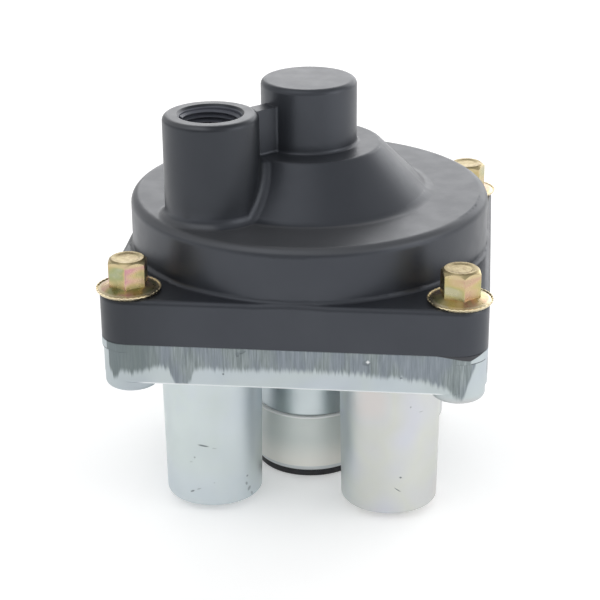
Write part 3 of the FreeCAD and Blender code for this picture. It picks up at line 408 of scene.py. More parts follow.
def body_casting():
    """Bare die-cast aluminium with faint tints, linished flange sides and small knocks, with painted shade on
    the flange's left end and the neck's sides, and painted highlights on the flange's lower edge and a dent.
    """
    material, tree, shader = new_finish("body_casting", 1.0)
    here = place(tree)
    cool = colours(tree, noise(tree, here, 34.0, 3.0, 0.5, 0.6), [
        (0.34, (0.560, 0.620, 0.665)),
        (0.46, (0.585, 0.640, 0.665)),
        (0.58, (0.590, 0.650, 0.645)),
        (0.68, (0.565, 0.615, 0.675)),
    ])
    warm = colours(tree, noise(tree, place(tree, shift=(0.013, 0.0, 0.004)), 48.0, 1.0, 0.4, 0.2), [
        (0.30, (0.545, 0.605, 0.645)),
        (0.40, (0.590, 0.603, 0.645)),
        (0.54, (0.613, 0.627, 0.588)),
        (0.60, (0.605, 0.615, 0.610)),
        (0.72, (0.640, 0.600, 0.580)),
    ])
    across, deep, up = parts_of(tree, here)
    on_right = calc(tree, "MULTIPLY", ranged(tree, across, 8.0 * MM, 20.0 * MM),
                    ranged(tree, up, 44.0 * MM, 46.0 * MM, 1.0, 0.0))
    tint = blend(tree, on_right, cool, warm)
    share, depth = linished_share(tree)
    streaks = noise(tree, place(tree, (1900.0, 1900.0, 110.0), turn=(0.04, 0.06, 0.0)), 1.0, 4.0, 0.65)
    patches = noise(tree, place(tree, (170.0, 170.0, 60.0)), 1.0, 3.0)
    linished = colours(tree, streaks, [
        (0.28, (0.155, 0.182, 0.188)),
        (0.48, (0.235, 0.270, 0.276)),
        (0.70, (0.345, 0.385, 0.395)),
    ])
    linished = blend(tree, ranged(tree, patches, 0.42, 0.62, 0.0, 0.45), linished, (0.215, 0.242, 0.300))
    # Painted shade: the flange's left end is painted darker, on its linished and its cast faces.
    left_end_painted_shade = ranged(tree, across, -42.0 * MM, -33.0 * MM, 0.75, 0.0)
    linished = blend(tree, left_end_painted_shade, linished, (0.150, 0.180, 0.180))
    side = calc(tree, "MAXIMUM", calc(tree, "ABSOLUTE", across), calc(tree, "ABSOLUTE", deep))
    on_flange = calc(tree, "GREATER_THAN", side, 42.0 * MM)
    tint = blend(tree, calc(tree, "MULTIPLY", on_flange, 0.55), tint, (0.430, 0.480, 0.500))
    tint = blend(tree, calc(tree, "MULTIPLY", calc(tree, "MULTIPLY", on_flange, left_end_painted_shade), 0.35),
                 tint, (0.300, 0.340, 0.350))
    colour = blend(tree, share, tint, linished)
    on_neck, neck_painted_shade = neck_shares(tree)
    colour = blend(tree, on_neck, colour, (0.620, 0.680, 0.695))
    # Painted shade on the neck's sides.
    colour = blend(tree, neck_painted_shade, colour, (0.170, 0.205, 0.240))
    # Painted highlight along the flange's rounded lower edge.
    colour = blend(tree, edge_painted_highlight(tree), colour, (0.930, 0.950, 0.960))
    outside_share = calc(tree, "SUBTRACT", 1.0, share)
    colour = blend(tree, calc(tree, "MULTIPLY", corner_step(tree, depth), outside_share), colour,
                   (0.040, 0.048, 0.056))
    marks = front_marks(tree)
    colour = blend(tree, calc(tree, "MULTIPLY", marks, 0.75), colour, (0.150, 0.175, 0.190))
    # Painted highlight on the dent's lower side.
    colour = blend(tree, ding_painted_highlight(tree), colour, (0.930, 0.945, 0.950))
    pits = ranged(tree, cells(tree, here, 190.0), 0.03, 0.07, 1.0, 0.0)
    rare = ranged(tree, noise(tree, here, 70.0, 1.0), 0.60, 0.66)
    knocks = calc(tree, "MULTIPLY", pits, rare)
    colour = blend(tree, calc(tree, "MULTIPLY", knocks, 0.6), colour, (0.20, 0.22, 0.23))
    flash = paint_flash(tree, depth)
    colour = blend(tree, flash, colour, (0.034, 0.036, 0.043))
    feed(tree, calc(tree, "SUBTRACT", 1.0, flash), shader.inputs["Metallic"])
    roughness = ranged(tree, noise(tree, here, 120.0, 4.0), 0.3, 0.7, 0.36, 0.46)
    rounded = soft_edges(tree, 0.45 * MM)
    grain = bump(tree, noise(tree, here, 1300.0, 3.0, 0.6), 0.02 * MM, 0.6, rounded)
    scratched = bump(tree, calc(tree, "MULTIPLY", share, streaks), 0.06 * MM, 0.7, grain)
    worn = calc(tree, "MAXIMUM", marks, knocks)
    dented = bump(tree, calc(tree, "SUBTRACT", 1.0, worn), 0.15 * MM, 0.9, scratched)
    finish_surface(tree, shader, colour, roughness, dented)
    return material


# How far the screws' film shifts its pattern from one face to the next, and how it is stretched
FILM_STEP = 6.0 * MM
FILM_STRETCH = (0.45, 0.45, 1.2)


def yellow_zinc():
    """Yellow passivated zinc: soft patches of gold, green and rose that differ from face to face."""
    material, tree, shader = new_finish("yellow_zinc", 1.0)
    here = place(tree)
    film = tree.nodes.new("ShaderNodeVectorMath")
    film.operation = "MULTIPLY_ADD"
    tree.links.new(tree.nodes.new("ShaderNodeTexCoord").outputs["Normal"], film.inputs[0])
    film.inputs[1].default_value = (FILM_STEP, FILM_STEP, FILM_STEP)
    tree.links.new(place(tree, FILM_STRETCH), film.inputs[2])
    play = noise(tree, film.outputs[0], 150.0, 1.0, 0.5, 0.2)
    colour = colours(tree, play, [
        (0.30, (0.420, 0.450, 0.370)),
        (0.38, (0.350, 0.370, 0.190)),
        (0.46, (0.520, 0.420, 0.210)),
        (0.52, (0.590, 0.400, 0.290)),
        (0.59, (0.560, 0.280, 0.315)),
        (0.70, (0.420, 0.370, 0.270)),
    ])
    up = parts_of(tree, here)[2]
    cream = ranged(tree, up, HEAD_TOP - 1.9 * MM, HEAD_TOP - 1.0 * MM, 0.0, 0.80)
    golden = ranged(tree, parts_of(tree, here)[0], -10.0 * MM, 10.0 * MM, 0.0, 0.5)
    colour = blend(tree, golden, colour, (0.520, 0.440, 0.200))
    colour = blend(tree, cream, colour, (0.600, 0.500, 0.290))
    rim = ranged(tree, up, HEAD_SEAT + 0.95 * MM, HEAD_SEAT + 1.15 * MM, 0.85, 0.0)
    colour = blend(tree, rim, colour, (0.740, 0.640, 0.430))
    fine = noise(tree, here, 900.0, 4.0, 0.6)
    colour = blend(tree, ranged(tree, fine, 0.50, 0.75, 0.0, 0.25), colour, (0.660, 0.570, 0.390))
    mottle = noise(tree, place(tree, shift=(0.0, 0.002, 0.0)), 620.0, 2.0, 0.5, 1.2)
    on_top = ranged(tree, up, HEAD_TOP - 0.5 * MM, HEAD_TOP - 0.2 * MM)
    colour = blend(tree, calc(tree, "MULTIPLY", on_top, 0.85), colour, (0.385, 0.320, 0.180))
    spots = calc(tree, "MULTIPLY", on_top, ranged(tree, mottle, 0.50, 0.66, 0.0, 0.6))
    colour = blend(tree, spots, colour, (0.290, 0.200, 0.110))
    roughness = ranged(tree, noise(tree, here, 500.0, 4.0), 0.3, 0.7, 0.25, 0.36)
    roughness = calc(tree, "ADD", roughness, calc(tree, "MULTIPLY", on_top, 0.10))
    grain = bump(tree, fine, 0.04 * MM, 0.5)
    finish_surface(tree, shader, colour, roughness, bump(tree, mottle, 0.06 * MM, 0.4, grain))
    return material


def shield_nylon():
    """Natural nylon, slightly see-through, with painted light: paler towards the rim, a painted shade on its
    lip and a painted highlight along its top edge.
    """
    material, tree, shader = new_finish("shield_nylon", 0.0, Subsurface_Weight=0.12,
                                        Subsurface_Scale=2.0 * MM, Subsurface_Radius=(1.0, 0.95, 0.85),
                                        Specular_IOR_Level=0.9, Coat_Weight=0.7, Coat_Roughness=0.35)
    here = place(tree)
    colour = colours(tree, noise(tree, here, 90.0, 3.0), [
        (0.3, (0.680, 0.730, 0.700)),
        (0.7, (0.725, 0.770, 0.740)),
    ])
    up = parts_of(tree, here)[2]
    rim = SHIELD_FOOT + SHIELD_LIP
    # Painted light: the wall is painted paler towards its foot, standing in for light from the floor.
    colour = blend(tree, ranged(tree, up, rim, rim + 10.0 * MM, 1.0, 0.0), colour, (0.985, 0.970, 0.900))
    # Painted shade on the lip.
    colour = blend(tree, ranged(tree, up, rim - 0.3 * MM, rim, 0.8, 0.0), colour, (0.660, 0.710, 0.730))
    # Painted highlight along the top edge.
    colour = blend(tree, ranged(tree, up, SHIELD_TOP - 0.6 * MM, SHIELD_TOP - 0.3 * MM), colour,
                   (1.000, 1.000, 0.980))
    flow = noise(tree, place(tree, (60.0, 60.0, 900.0)), 1.0, 3.0)
    roughness = ranged(tree, flow, 0.3, 0.7, 0.36, 0.48)
    finish_surface(tree, shader, colour, roughness, bump(tree, flow, 0.02 * MM, 0.5))
    return material


def black_rubber():
    """Black moulded rubber with a dusty bloom."""
    material, tree, shader = new_finish("black_rubber", 0.0, Specular_IOR_Level=0.4)
    here = place(tree)
    colour = colours(tree, noise(tree, here, 260.0, 4.0), [
        (0.3, (0.016, 0.016, 0.019)),
        (0.7, (0.032, 0.032, 0.036)),
    ])
    roughness = ranged(tree, noise(tree, here, 700.0, 3.0), 0.3, 0.7, 0.48, 0.66)
    finish_surface(tree, shader, colour, roughness, bump(tree, noise(tree, here, 1200.0, 3.0), 0.03 * MM))
    return material


# Distance between the fine rings that turning leaves
RING_STEP = 0.35 * MM


def turned_metal(name, pale, dark, low_rough, high_rough):
    """A machined metal with fine rings round the valve axis."""
    material, tree, shader = new_finish(name, 1.0)
    here = place(tree)
    across, deep, up = parts_of(tree, here)
    from_axis = distance_of(tree, across, deep)
    turns = calc(tree, "MULTIPLY", calc(tree, "ADD", from_axis, up), 2.0 * math.pi / RING_STEP)
    rings = calc(tree, "SINE", turns)
    colour = colours(tree, noise(tree, here, 150.0, 4.0), [(0.3, dark), (0.7, pale)])
    roughness = ranged(tree, noise(tree, here, 400.0, 4.0), 0.3, 0.7, low_rough, high_rough)
    finish_surface(tree, shader, colour, roughness, bump(tree, rings, 0.004 * MM))
    return material


def washer_steel():
    """Bright stamped steel with small scratches."""
    material, tree, shader = new_finish("washer_steel", 1.0)
    here = place(tree)
    colour = colours(tree, noise(tree, here, 300.0, 4.0), [
        (0.3, (0.42, 0.42, 0.43)),
        (0.7, (0.60, 0.60, 0.60)),
    ])
    marks = noise(tree, place(tree, (1500.0, 200.0, 200.0), turn=(0.0, 0.0, 0.6)), 1.0, 3.0)
    finish_surface(tree, shader, colour, ranged(tree, marks, 0.3, 0.7, 0.24, 0.40),
                   bump(tree, marks, 0.01 * MM))
    return material


FINISHES = {
    "cover_coat": cover_coat(),
    "body_casting": body_casting(),
    "yellow_zinc": yellow_zinc(),
    "shield_nylon": shield_nylon(),
    "black_rubber": black_rubber(),
    "piston_metal": turned_metal("piston_metal", (0.62, 0.63, 0.64), (0.50, 0.51, 0.53), 0.26, 0.38),
    "guide_metal": turned_metal("guide_metal", (0.66, 0.66, 0.66), (0.54, 0.55, 0.56), 0.24, 0.36),
    "stem_brass": turned_metal("stem_brass", (0.72, 0.56, 0.28), (0.60, 0.44, 0.20), 0.22, 0.34),
    "spring_steel": turned_metal("spring_steel", (0.46, 0.46, 0.47), (0.32, 0.32, 0.34), 0.28, 0.42),
    "washer_steel": washer_steel(),
}


def dress_nodes():
    """Gives each node of the frame the finish that its slot names."""
    for node in frame["nodes"].values():
        for slot in node.material_slots:
            slot.material = FINISHES[slot.material.name.split(".")[0]]


# Modelling helpers

def start_mesh():
    """Nothing selected, object mode, before a primitive is added."""
    if bpy.context.object and bpy.context.object.mode != "OBJECT":
        bpy.ops.object.mode_set(mode="OBJECT")
    bpy.ops.object.select_all(action="DESELECT")


def named(name):
    thing = bpy.context.object
    thing.name = thing.data.name = name
    return thing


def settle(thing):
    """Puts the piece's place into its mesh and leaves the object at the origin."""
    start_mesh()
    thing.select_set(True)
    bpy.context.view_layer.objects.active = thing
    bpy.ops.object.transform_apply(location=True, rotation=True, scale=True)
    return thing


def apply_modifiers(thing):
    start_mesh()
    thing.select_set(True)
    bpy.context.view_layer.objects.active = thing
    for modifier in list(thing.modifiers):
        bpy.ops.object.modifier_apply(modifier=modifier.name)


def pick(thing, kind, test):
    """In edit mode, selects the vertices, edges or faces that pass the test, and no others."""
    bpy.ops.mesh.select_mode(type=kind)
    bpy.ops.mesh.select_all(action="DESELECT")
    bpy.ops.object.mode_set(mode="OBJECT")
    mesh = thing.data
    items = {"VERT": mesh.vertices, "EDGE": mesh.edges, "FACE": mesh.polygons}[kind]
    for item in items:
        item.select = bool(test(mesh, item))
    bpy.ops.object.mode_set(mode="EDIT")


def fit_out(piece, slot, body, angle=40.0):
    """Material, smooth faces, slot and body of a finished piece."""
    start_mesh()
    piece.select_set(True)
    bpy.context.view_layer.objects.active = piece
    bpy.ops.object.shade_smooth_by_angle(angle=math.radians(angle))
    piece.data.materials.clear()
    piece.data.materials.append(FINISHES[slot])
    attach(piece, body)


# Pipe threads

SMALL_PITCH = 1.41 * MM
LARGE_PITCH = 1.81 * MM
RUN_IN = 1.0 * MM


def swept_outline(name, corners, pitch, turns, steps):
    """A closed outline, given as (radius, height) in order, swept round the Z axis."""
    start_mesh()
    bpy.ops.mesh.primitive_circle_add(vertices=len(corners), radius=1.0, fill_type="NOTHING")
    shape = named(name)
    for vertex, (out, up) in zip(shape.data.vertices, corners):
        vertex.co = (out, 0.0, up)
    screw = shape.modifiers.new("turns", "SCREW")
    screw.axis = "Z"
    screw.angle = 2.0 * math.pi
    screw.screw_offset = pitch
    screw.iterations = turns
    screw.steps = screw.render_steps = steps
    screw.use_merge_vertices = False
    apply_modifiers(shape)
    bpy.ops.object.mode_set(mode="EDIT")
    bpy.ops.mesh.select_all(action="SELECT")
    bpy.ops.mesh.remove_doubles(threshold=0.001 * MM)
    bpy.ops.mesh.normals_make_consistent(inside=False)
    bpy.ops.object.mode_set(mode="OBJECT")
    return shape


def wind_ridge(name, corners, pitch, turns, steps=56):
    """A ridge wound round the Z axis, with both ends closed."""
    ridge = swept_outline(name, corners, pitch, turns, steps)
    bpy.ops.object.mode_set(mode="EDIT")
    bpy.ops.mesh.select_all(action="DESELECT")
    bpy.ops.mesh.select_mode(type="EDGE")
    bpy.ops.mesh.select_non_manifold(extend=False)
    bpy.ops.mesh.edge_face_add()
    bpy.ops.mesh.select_all(action="SELECT")
    bpy.ops.mesh.normals_make_consistent(inside=False)
    bpy.ops.object.mode_set(mode="OBJECT")
    return ridge


def port_thread(name, mount_name, slot, pitch):
    """The ridge of a pipe thread inside a port, wound from its mouth inwards."""
    middle, axis, radius, row = mount(mount_name)
    length = row["dims"]["length_mm"] * MM
    turns = int((length - RUN_IN) / pitch)
    height = 0.62 * pitch
    root, crest = radius + 0.06 * MM, radius - height
    ridge = wind_ridge(name, [
        (root, 0.46 * pitch), (crest, 0.06 * pitch), (crest, -0.06 * pitch), (root, -0.46 * pitch),
    ], pitch, turns)
    inner_end = middle - axis * (length / 2.0)
    ridge.rotation_euler = axis.to_track_quat("Z", "Y").to_euler()
    ridge.location = inner_end + axis * (0.5 * pitch)
    settle(ridge)
    fit_out(ridge, slot, "housing", 30.0)
    return ridge


# Cover screws

HEAD_FLATS = 10.0 * MM
HEAD_EDGE = 0.2 * MM
CROWN_RADIUS = 4.45 * MM
CROWN_HEIGHT = 1.55 * MM
RIM_WIDTH = 0.85 * MM
RECESS_SLOPE = 0.45 * MM
RECESS_DEPTH = 0.22 * MM
SCREW_FLANGE = 8.9 * MM
SCREW_FLANGE_RIM = 0.85 * MM
SCREW_FLANGE_UNDERCUT = 0.5 * MM
SCREW_FLANGE_LIP = 0.30 * MM
LIP_STEP_WIDTH = 0.12 * MM
LIP_STEP_DEPTH = 0.16 * MM
SCREW_FLANGE_RISE = 2.2 * MM
RIM_WAVES = 36
WAVE_HEIGHT = 0.17 * MM
SHANK_RADIUS = 3.0 * MM
SHANK_LENGTH = 24.0 * MM
SHANK_PITCH = 1.0 * MM
SHANK_POINT = 0.6 * MM
RIDGE_HEIGHT = 0.55 * MM
SCREW_TURNS = {
    "cover_screw_front_left": 34.0,
    "cover_screw_front_right": 42.0,
    "cover_screw_rear_left": 41.0,
    "cover_screw_rear_right": 12.0,
}


def add_cylinder(name, sides, radius, low, high):
    start_mesh()
    bpy.ops.mesh.primitive_cylinder_add(vertices=sides, radius=radius, depth=high - low,
                                        location=(0.0, 0.0, (high + low) / 2.0))
    return settle(named(name))


def facing_up_at(level):
    """Picks the flat face that looks up at a level."""
    return lambda mesh, face: face.normal.z > 0.9 and abs(face.center.z - level) < 0.01 * MM


def combine(thing, tool, operation):
    """Joins or cuts two closed shapes and removes the second."""
    start_mesh()
    modifier = thing.modifiers.new(operation, "BOOLEAN")
    modifier.operation = operation
    modifier.solver = "EXACT"
    modifier.object = tool
    apply_modifiers(thing)
    bpy.data.objects.remove(tool, do_unlink=True)


def edit(thing):
    start_mesh()
    thing.select_set(True)
    bpy.context.view_layer.objects.active = thing
    bpy.ops.object.mode_set(mode="EDIT")


def hexagon_head():
    """The hexagon with its turned crown, raised rim and shallow recess."""
    hexagon = add_cylinder("hexagon", 6, HEAD_FLATS / math.sqrt(3.0), 0.4 * MM, HEAD_HEIGHT)
    edit(hexagon)
    pick(hexagon, "EDGE", lambda mesh, edge: abs(
        mesh.vertices[edge.vertices[0]].co.z - mesh.vertices[edge.vertices[1]].co.z) > 1.0 * MM)
    bpy.ops.mesh.bevel(offset=HEAD_EDGE, segments=2, affect="EDGES")
    bpy.ops.object.mode_set(mode="OBJECT")
    foot_radius = CROWN_RADIUS + CROWN_HEIGHT
    crown = add_cylinder("crown", 96, foot_radius, 0.2 * MM, HEAD_HEIGHT)
    edit(crown)
    pick(crown, "FACE", facing_up_at(HEAD_HEIGHT))
    bpy.ops.mesh.bevel(offset=CROWN_HEIGHT, segments=4, profile=0.29, affect="EDGES")
    pick(crown, "FACE", facing_up_at(HEAD_HEIGHT))
    bpy.ops.mesh.inset(thickness=RIM_WIDTH)
    bpy.ops.mesh.inset(thickness=RECESS_SLOPE, depth=-RECESS_DEPTH)
    bpy.ops.mesh.inset(thickness=RECESS_SLOPE, depth=-0.05 * MM)
    bpy.ops.object.mode_set(mode="OBJECT")
    combine(hexagon, crown, "INTERSECT")
    return hexagon


def head_flange():
    """The round flange: undercut foot, wavy lip and a cone up to the hexagon."""
    flange = add_cylinder("head_flange", 6 * RIM_WAVES, SCREW_FLANGE, 0.0, SCREW_FLANGE_RIM)
    edit(flange)
    pick(flange, "FACE", lambda mesh, face: face.normal.z < -0.9)
    bpy.ops.mesh.bevel(offset=SCREW_FLANGE_UNDERCUT, segments=1, affect="EDGES")
    pick(flange, "FACE", facing_up_at(SCREW_FLANGE_RIM))
    bpy.ops.mesh.inset(thickness=SCREW_FLANGE_LIP)
    bpy.ops.mesh.inset(thickness=LIP_STEP_WIDTH, depth=-LIP_STEP_DEPTH)
    cone_foot = SCREW_FLANGE - SCREW_FLANGE_LIP - LIP_STEP_WIDTH
    cone_top = HEAD_FLATS / 2.0 + 0.1 * MM
    bpy.ops.mesh.inset(thickness=cone_foot - cone_top, depth=SCREW_FLANGE_RISE - SCREW_FLANGE_RIM)
    bpy.ops.mesh.inset(thickness=1.0 * MM)

    def on_lip(vertex):
        return (vertex.co.xy.length > SCREW_FLANGE - 1.1 * SCREW_FLANGE_LIP
                and vertex.co.z > 0.9 * SCREW_FLANGE_UNDERCUT)

    def wave_at(vertex):
        return math.cos(RIM_WAVES * math.atan2(vertex.co.y, vertex.co.x))

    for level in (0.75, 0.0, -0.75):
        pick(flange, "VERT", lambda mesh, vertex: on_lip(vertex) and wave_at(vertex) > level)
        bpy.ops.transform.translate(value=(0.0, 0.0, WAVE_HEIGHT / 3.0))
    bpy.ops.object.mode_set(mode="OBJECT")
    return flange


def threaded_shank():
    """The shank's core with a pointed end, and the ridge of its thread."""
    core_radius = SHANK_RADIUS - RIDGE_HEIGHT
    core = add_cylinder("shank", 40, core_radius, -SHANK_LENGTH, 0.3 * MM)
    edit(core)
    pick(core, "FACE", lambda mesh, face: face.normal.z < -0.9)
    bpy.ops.mesh.bevel(offset=SHANK_POINT, segments=1, affect="EDGES")
    bpy.ops.object.mode_set(mode="OBJECT")
    turns = int((SHANK_LENGTH - 2.5 * MM) / SHANK_PITCH)
    ridge = wind_ridge("shank_ridge", [
        (core_radius - 0.05 * MM, 0.46 * SHANK_PITCH),
        (SHANK_RADIUS, 0.08 * SHANK_PITCH),
        (SHANK_RADIUS, -0.08 * SHANK_PITCH),
        (core_radius - 0.05 * MM, -0.46 * SHANK_PITCH),
    ], SHANK_PITCH, turns, 32)
    ridge.location.z = -SHANK_LENGTH + 1.1 * MM
    settle(ridge)
    start_mesh()
    ridge.select_set(True)
    core.select_set(True)
    bpy.context.view_layer.objects.active = core
    bpy.ops.object.join()
    return core


def cover_screws():
    """One flange screw, copied to its four places, each with its own turn."""
    head = hexagon_head()
    combine(head, head_flange(), "UNION")
    shank = threaded_shank()
    start_mesh()
    shank.select_set(True)
    head.select_set(True)
    bpy.context.view_layer.objects.active = head
    bpy.ops.object.join()
    for node, turn in SCREW_TURNS.items():
        low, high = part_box(node)
        start_mesh()
        head.select_set(True)
        bpy.context.view_layer.objects.active = head
        bpy.ops.object.duplicate(linked=False)
        screw = named(node.replace("cover_screw", "flange_screw"))
        screw.rotation_euler = (0.0, 0.0, math.radians(turn + 30.0))
        screw.location = ((low.x + high.x) / 2.0, (low.y + high.y) / 2.0, HEAD_SEAT)
        settle(screw)
        fit_out(screw, "yellow_zinc", "housing", 32.0)
        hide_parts(node)
    bpy.data.objects.remove(head, do_unlink=True)


# Exhaust shield

SHIELD_WALL = 1.7 * MM
SHIELD_ROUNDING = 0.35 * MM
NECK_GAP = 0.05 * MM
NECK_END = SHIELD_FOOT + 8.9 * MM
SNAP_BEAD = NECK_END + 3.2 * MM
BEAD_DEPTH = 0.45 * MM
ARM_FOOT = SHIELD_FOOT + 3.8 * MM
ARM_HEIGHT = 2.6 * MM
ARM_WIDTH = 3.2 * MM
HUB_RADIUS = 4.2 * MM
HUB_HEIGHT = 4.3 * MM
BUTTON_HOLE = 1.55 * MM


def shield_wall():
    """The ring round the neck, with its snap bead and tapered lip."""
    inside = SHIELD_RADIUS - SHIELD_WALL
    bore = NECK_RADIUS + NECK_GAP
    wall = swept_outline("exhaust_guard", [
        (SHIELD_RADIUS - 0.9 * MM, SHIELD_FOOT),
        (SHIELD_RADIUS, SHIELD_FOOT + SHIELD_LIP),
        (SHIELD_RADIUS, SHIELD_TOP),
        (bore, SHIELD_TOP),
        (bore, SNAP_BEAD + 0.8 * MM),
        (bore - BEAD_DEPTH, SNAP_BEAD),
        (bore, SNAP_BEAD - 0.8 * MM),
        (bore, NECK_END),
        (inside, NECK_END - 1.5 * MM),
        (inside, SHIELD_FOOT),
    ], 0.0, 1, 112)
    rounding = wall.modifiers.new("rounding", "BEVEL")
    rounding.width = SHIELD_ROUNDING
    rounding.segments = 3
    rounding.limit_method = "ANGLE"
    rounding.angle_limit = math.radians(34.0)
    apply_modifiers(wall)
    return wall


def exhaust_shield():
    """The wall with three arms and the hub that holds the diaphragm."""
    shield = shield_wall()
    hub = add_cylinder("hub", 48, HUB_RADIUS, ARM_FOOT, ARM_FOOT + HUB_HEIGHT)
    reach = SHIELD_RADIUS - 0.6 * SHIELD_WALL
    for turn in (0.0, 120.0, 240.0):
        direction = Vector((math.cos(math.radians(turn)), math.sin(math.radians(turn)), 0.0))
        start_mesh()
        bpy.ops.mesh.primitive_cube_add(size=1.0, location=direction * (reach / 2.0)
                                        + Vector((0.0, 0.0, ARM_FOOT + ARM_HEIGHT / 2.0)),
                                        rotation=(0.0, 0.0, math.radians(turn)))
        arm = named("arm")
        arm.scale = (reach, ARM_WIDTH, ARM_HEIGHT)
        combine(hub, settle(arm), "UNION")
    combine(hub, add_cylinder("button_hole", 32, BUTTON_HOLE, ARM_FOOT - 1.0 * MM, NECK_END), "DIFFERENCE")
    combine(shield, hub, "UNION")
    fit_out(shield, "shield_nylon", "housing", 32.0)
    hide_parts("exhaust_shield")


def turned_sleeve():
    """The neck's thicker, turned length above the shield."""
    foot = SHIELD_TOP + NECK_GAP
    inside = NECK_RADIUS - 0.3 * MM
    sleeve = swept_outline("turned_sleeve", [
        (inside, foot),
        (SLEEVE_RADIUS - 0.3 * MM, foot),
        (SLEEVE_RADIUS, foot + 0.3 * MM),
        (SLEEVE_RADIUS, FLANGE_FOOT - 0.8 * MM),
        (SLEEVE_RADIUS + 0.8 * MM, FLANGE_FOOT + 0.2 * MM),
        (inside, FLANGE_FOOT + 0.2 * MM),
    ], 0.0, 1, 96)
    fit_out(sleeve, "body_casting", "housing", 32.0)


# Stage, light and camera

VIEW_AZIMUTH = math.radians(6.27)
VIEW_ELEVATION = math.radians(22.68)
VIEW_ROLL = math.radians(-0.45)
VIEW_DISTANCE = 512.5 * MM
VIEW_HEIGHT = 50.77 * MM
VIEW_SHIFT = -2.98 * MM
FOCAL_LENGTH = 102.98
SENSOR_WIDTH = 36.0


def make_camera():
    """The photograph's view, with its slight tilt to the left."""
    right = Vector((math.cos(VIEW_AZIMUTH), math.sin(VIEW_AZIMUTH), 0.0))
    back = Vector((math.sin(VIEW_AZIMUTH) * math.cos(VIEW_ELEVATION),
                   -math.cos(VIEW_AZIMUTH) * math.cos(VIEW_ELEVATION), math.sin(VIEW_ELEVATION)))
    up = back.cross(right)
    cos_roll, sin_roll = math.cos(VIEW_ROLL), math.sin(VIEW_ROLL)
    tilted_right = right * cos_roll + up * sin_roll
    tilted_up = up * cos_roll - right * sin_roll
    aim = Vector((0.0, 0.0, VIEW_HEIGHT)) + right * VIEW_SHIFT
    start_mesh()
    bpy.ops.object.camera_add()
    camera = bpy.context.object
    camera.name = "photo_view"
    camera.data.sensor_width = SENSOR_WIDTH
    camera.data.lens = FOCAL_LENGTH
    camera.data.clip_start = 0.01
    turn = Matrix((tilted_right, tilted_up, back)).transposed()
    camera.matrix_world = Matrix.Translation(aim + back * VIEW_DISTANCE) @ turn.to_4x4()
    bpy.context.scene.camera = camera


def soft_lamp(name, place_at, aim, width, height, radiance):
    """A large soft lamp; radiance is how bright its face is, where 1 is white."""
    start_mesh()
    bpy.ops.object.light_add(type="AREA", location=place_at)
    lamp = bpy.context.object
    lamp.name = name
    lamp.data.shape = "RECTANGLE"
    lamp.data.size = width
    lamp.data.size_y = height
    lamp.data.energy = radiance * math.pi * width * height
    lamp.visible_camera = False
    lamp.rotation_euler = (Vector(aim) - Vector(place_at)).to_track_quat("-Z", "Y").to_euler()


def reflected(tree):
    """1 for what the camera, gloss and glass see, 0 for what soft light sees."""
    path = tree.nodes.new("ShaderNodeLightPath")
    seen = calc(tree, "ADD", path.outputs["Is Glossy Ray"], path.outputs["Is Transmission Ray"], clamp=True)
    return path.outputs["Is Camera Ray"], seen


# Light of the studio: the walls as soft light sees them, and their ends as gloss sees them
SOFT_LIGHT = 1.20
LEFT_WALL = 0.74
RIGHT_WALL = 0.88
ABOVE_CAMERA = 0.35


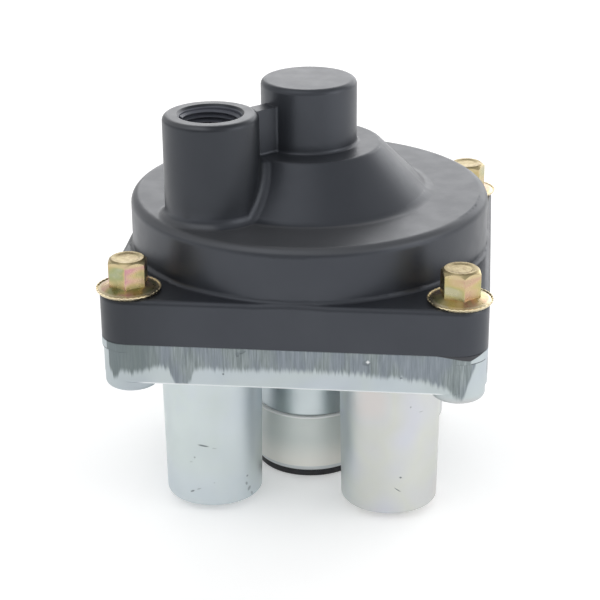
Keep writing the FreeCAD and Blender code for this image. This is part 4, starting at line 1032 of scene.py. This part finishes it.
def make_light():
    """A pale room, darker overhead and above the camera, with three soft lamps."""
    world = bpy.data.worlds.new("studio")
    bpy.context.scene.world = world
    world.use_nodes = True
    tree = world.node_tree
    background = tree.nodes["Background"]
    coordinates = tree.nodes.new("ShaderNodeTexCoord")
    across, deep, up = parts_of(tree, coordinates.outputs["Generated"])
    walls = ranged(tree, up, 0.30, 0.85, 1.0, 0.45)
    behind_camera = calc(tree, "MULTIPLY", ranged(tree, deep, -0.85, -0.60, 1.0, 0.0),
                         ranged(tree, up, 0.30, 0.60, 1.0, 0.0))
    dimmed = ranged(tree, behind_camera, 0.0, 1.0, 1.0, ABOVE_CAMERA, soft=False)
    seen_walls = calc(tree, "MULTIPLY", walls, dimmed)
    left = ranged(tree, across, -0.90, -0.30, LEFT_WALL, 1.0)
    right = ranged(tree, across, 0.30, 0.90, 1.0, RIGHT_WALL)
    seen_walls = calc(tree, "MULTIPLY", seen_walls, calc(tree, "MULTIPLY", left, right))
    camera_ray, seen = reflected(tree)
    diffuse = calc(tree, "MULTIPLY", walls, SOFT_LIGHT)
    strength = calc(tree, "ADD", calc(tree, "MULTIPLY", seen, seen_walls),
                    calc(tree, "MULTIPLY", calc(tree, "SUBTRACT", 1.0, seen), diffuse))
    strength = calc(tree, "ADD", camera_ray,
                    calc(tree, "MULTIPLY", calc(tree, "SUBTRACT", 1.0, camera_ray), strength))
    tree.links.new(strength, background.inputs["Strength"])
    background.inputs["Color"].default_value = (1.0, 1.0, 1.0, 1.0)
    soft_lamp("back_lamp", (0.25, 1.3, 0.55), (0.0, 0.0, 0.06), 1.8, 0.9, 1.4)
    soft_lamp("right_lamp", (1.1, -0.3, 0.45), (0.0, 0.0, 0.05), 0.7, 0.9, 1.2)
    soft_lamp("top_lamp", (-0.35, -0.45, 1.1), (0.0, 0.0, 0.05), 0.9, 0.9, 0.7)


FLOOR_SIZE = 14.0
FLOOR_GLOW = 0.25


def make_floor():
    """A white floor that looks white to the camera and in gloss, and keeps the shadow."""
    start_mesh()
    bpy.ops.mesh.primitive_plane_add(size=FLOOR_SIZE)
    floor = named("floor")
    material, tree, shader = new_finish("floor_white", 0.0, Specular_IOR_Level=0.1, Roughness=0.8)
    here = place(tree)
    colour = colours(tree, noise(tree, here, 3.0, 2.0), [
        (0.0, (0.93, 0.93, 0.93)),
        (1.0, (0.95, 0.95, 0.95)),
    ])
    tree.links.new(colour, shader.inputs["Base Color"])
    camera_ray, seen = reflected(tree)
    shader.inputs["Emission Color"].default_value = (1.0, 1.0, 1.0, 1.0)
    glow = calc(tree, "MULTIPLY", calc(tree, "ADD", camera_ray, seen, clamp=True), FLOOR_GLOW)
    tree.links.new(glow, shader.inputs["Emission Strength"])
    floor.data.materials.append(material)


# Assembly

dress_nodes()
cover_screws()
exhaust_shield()
turned_sleeve()
port_thread("control_port_thread", "control_port", "cover_coat", SMALL_PITCH)
for corner in ("front_left", "front_right", "rear_left", "rear_right"):
    port_thread("delivery_thread_" + corner, "delivery_port_" + corner, "body_casting", SMALL_PITCH)
port_thread("supply_port_thread", "supply_port", "body_casting", LARGE_PITCH)
make_floor()
make_light()
make_camera()
bpy.context.scene.view_settings.view_transform = "Standard"
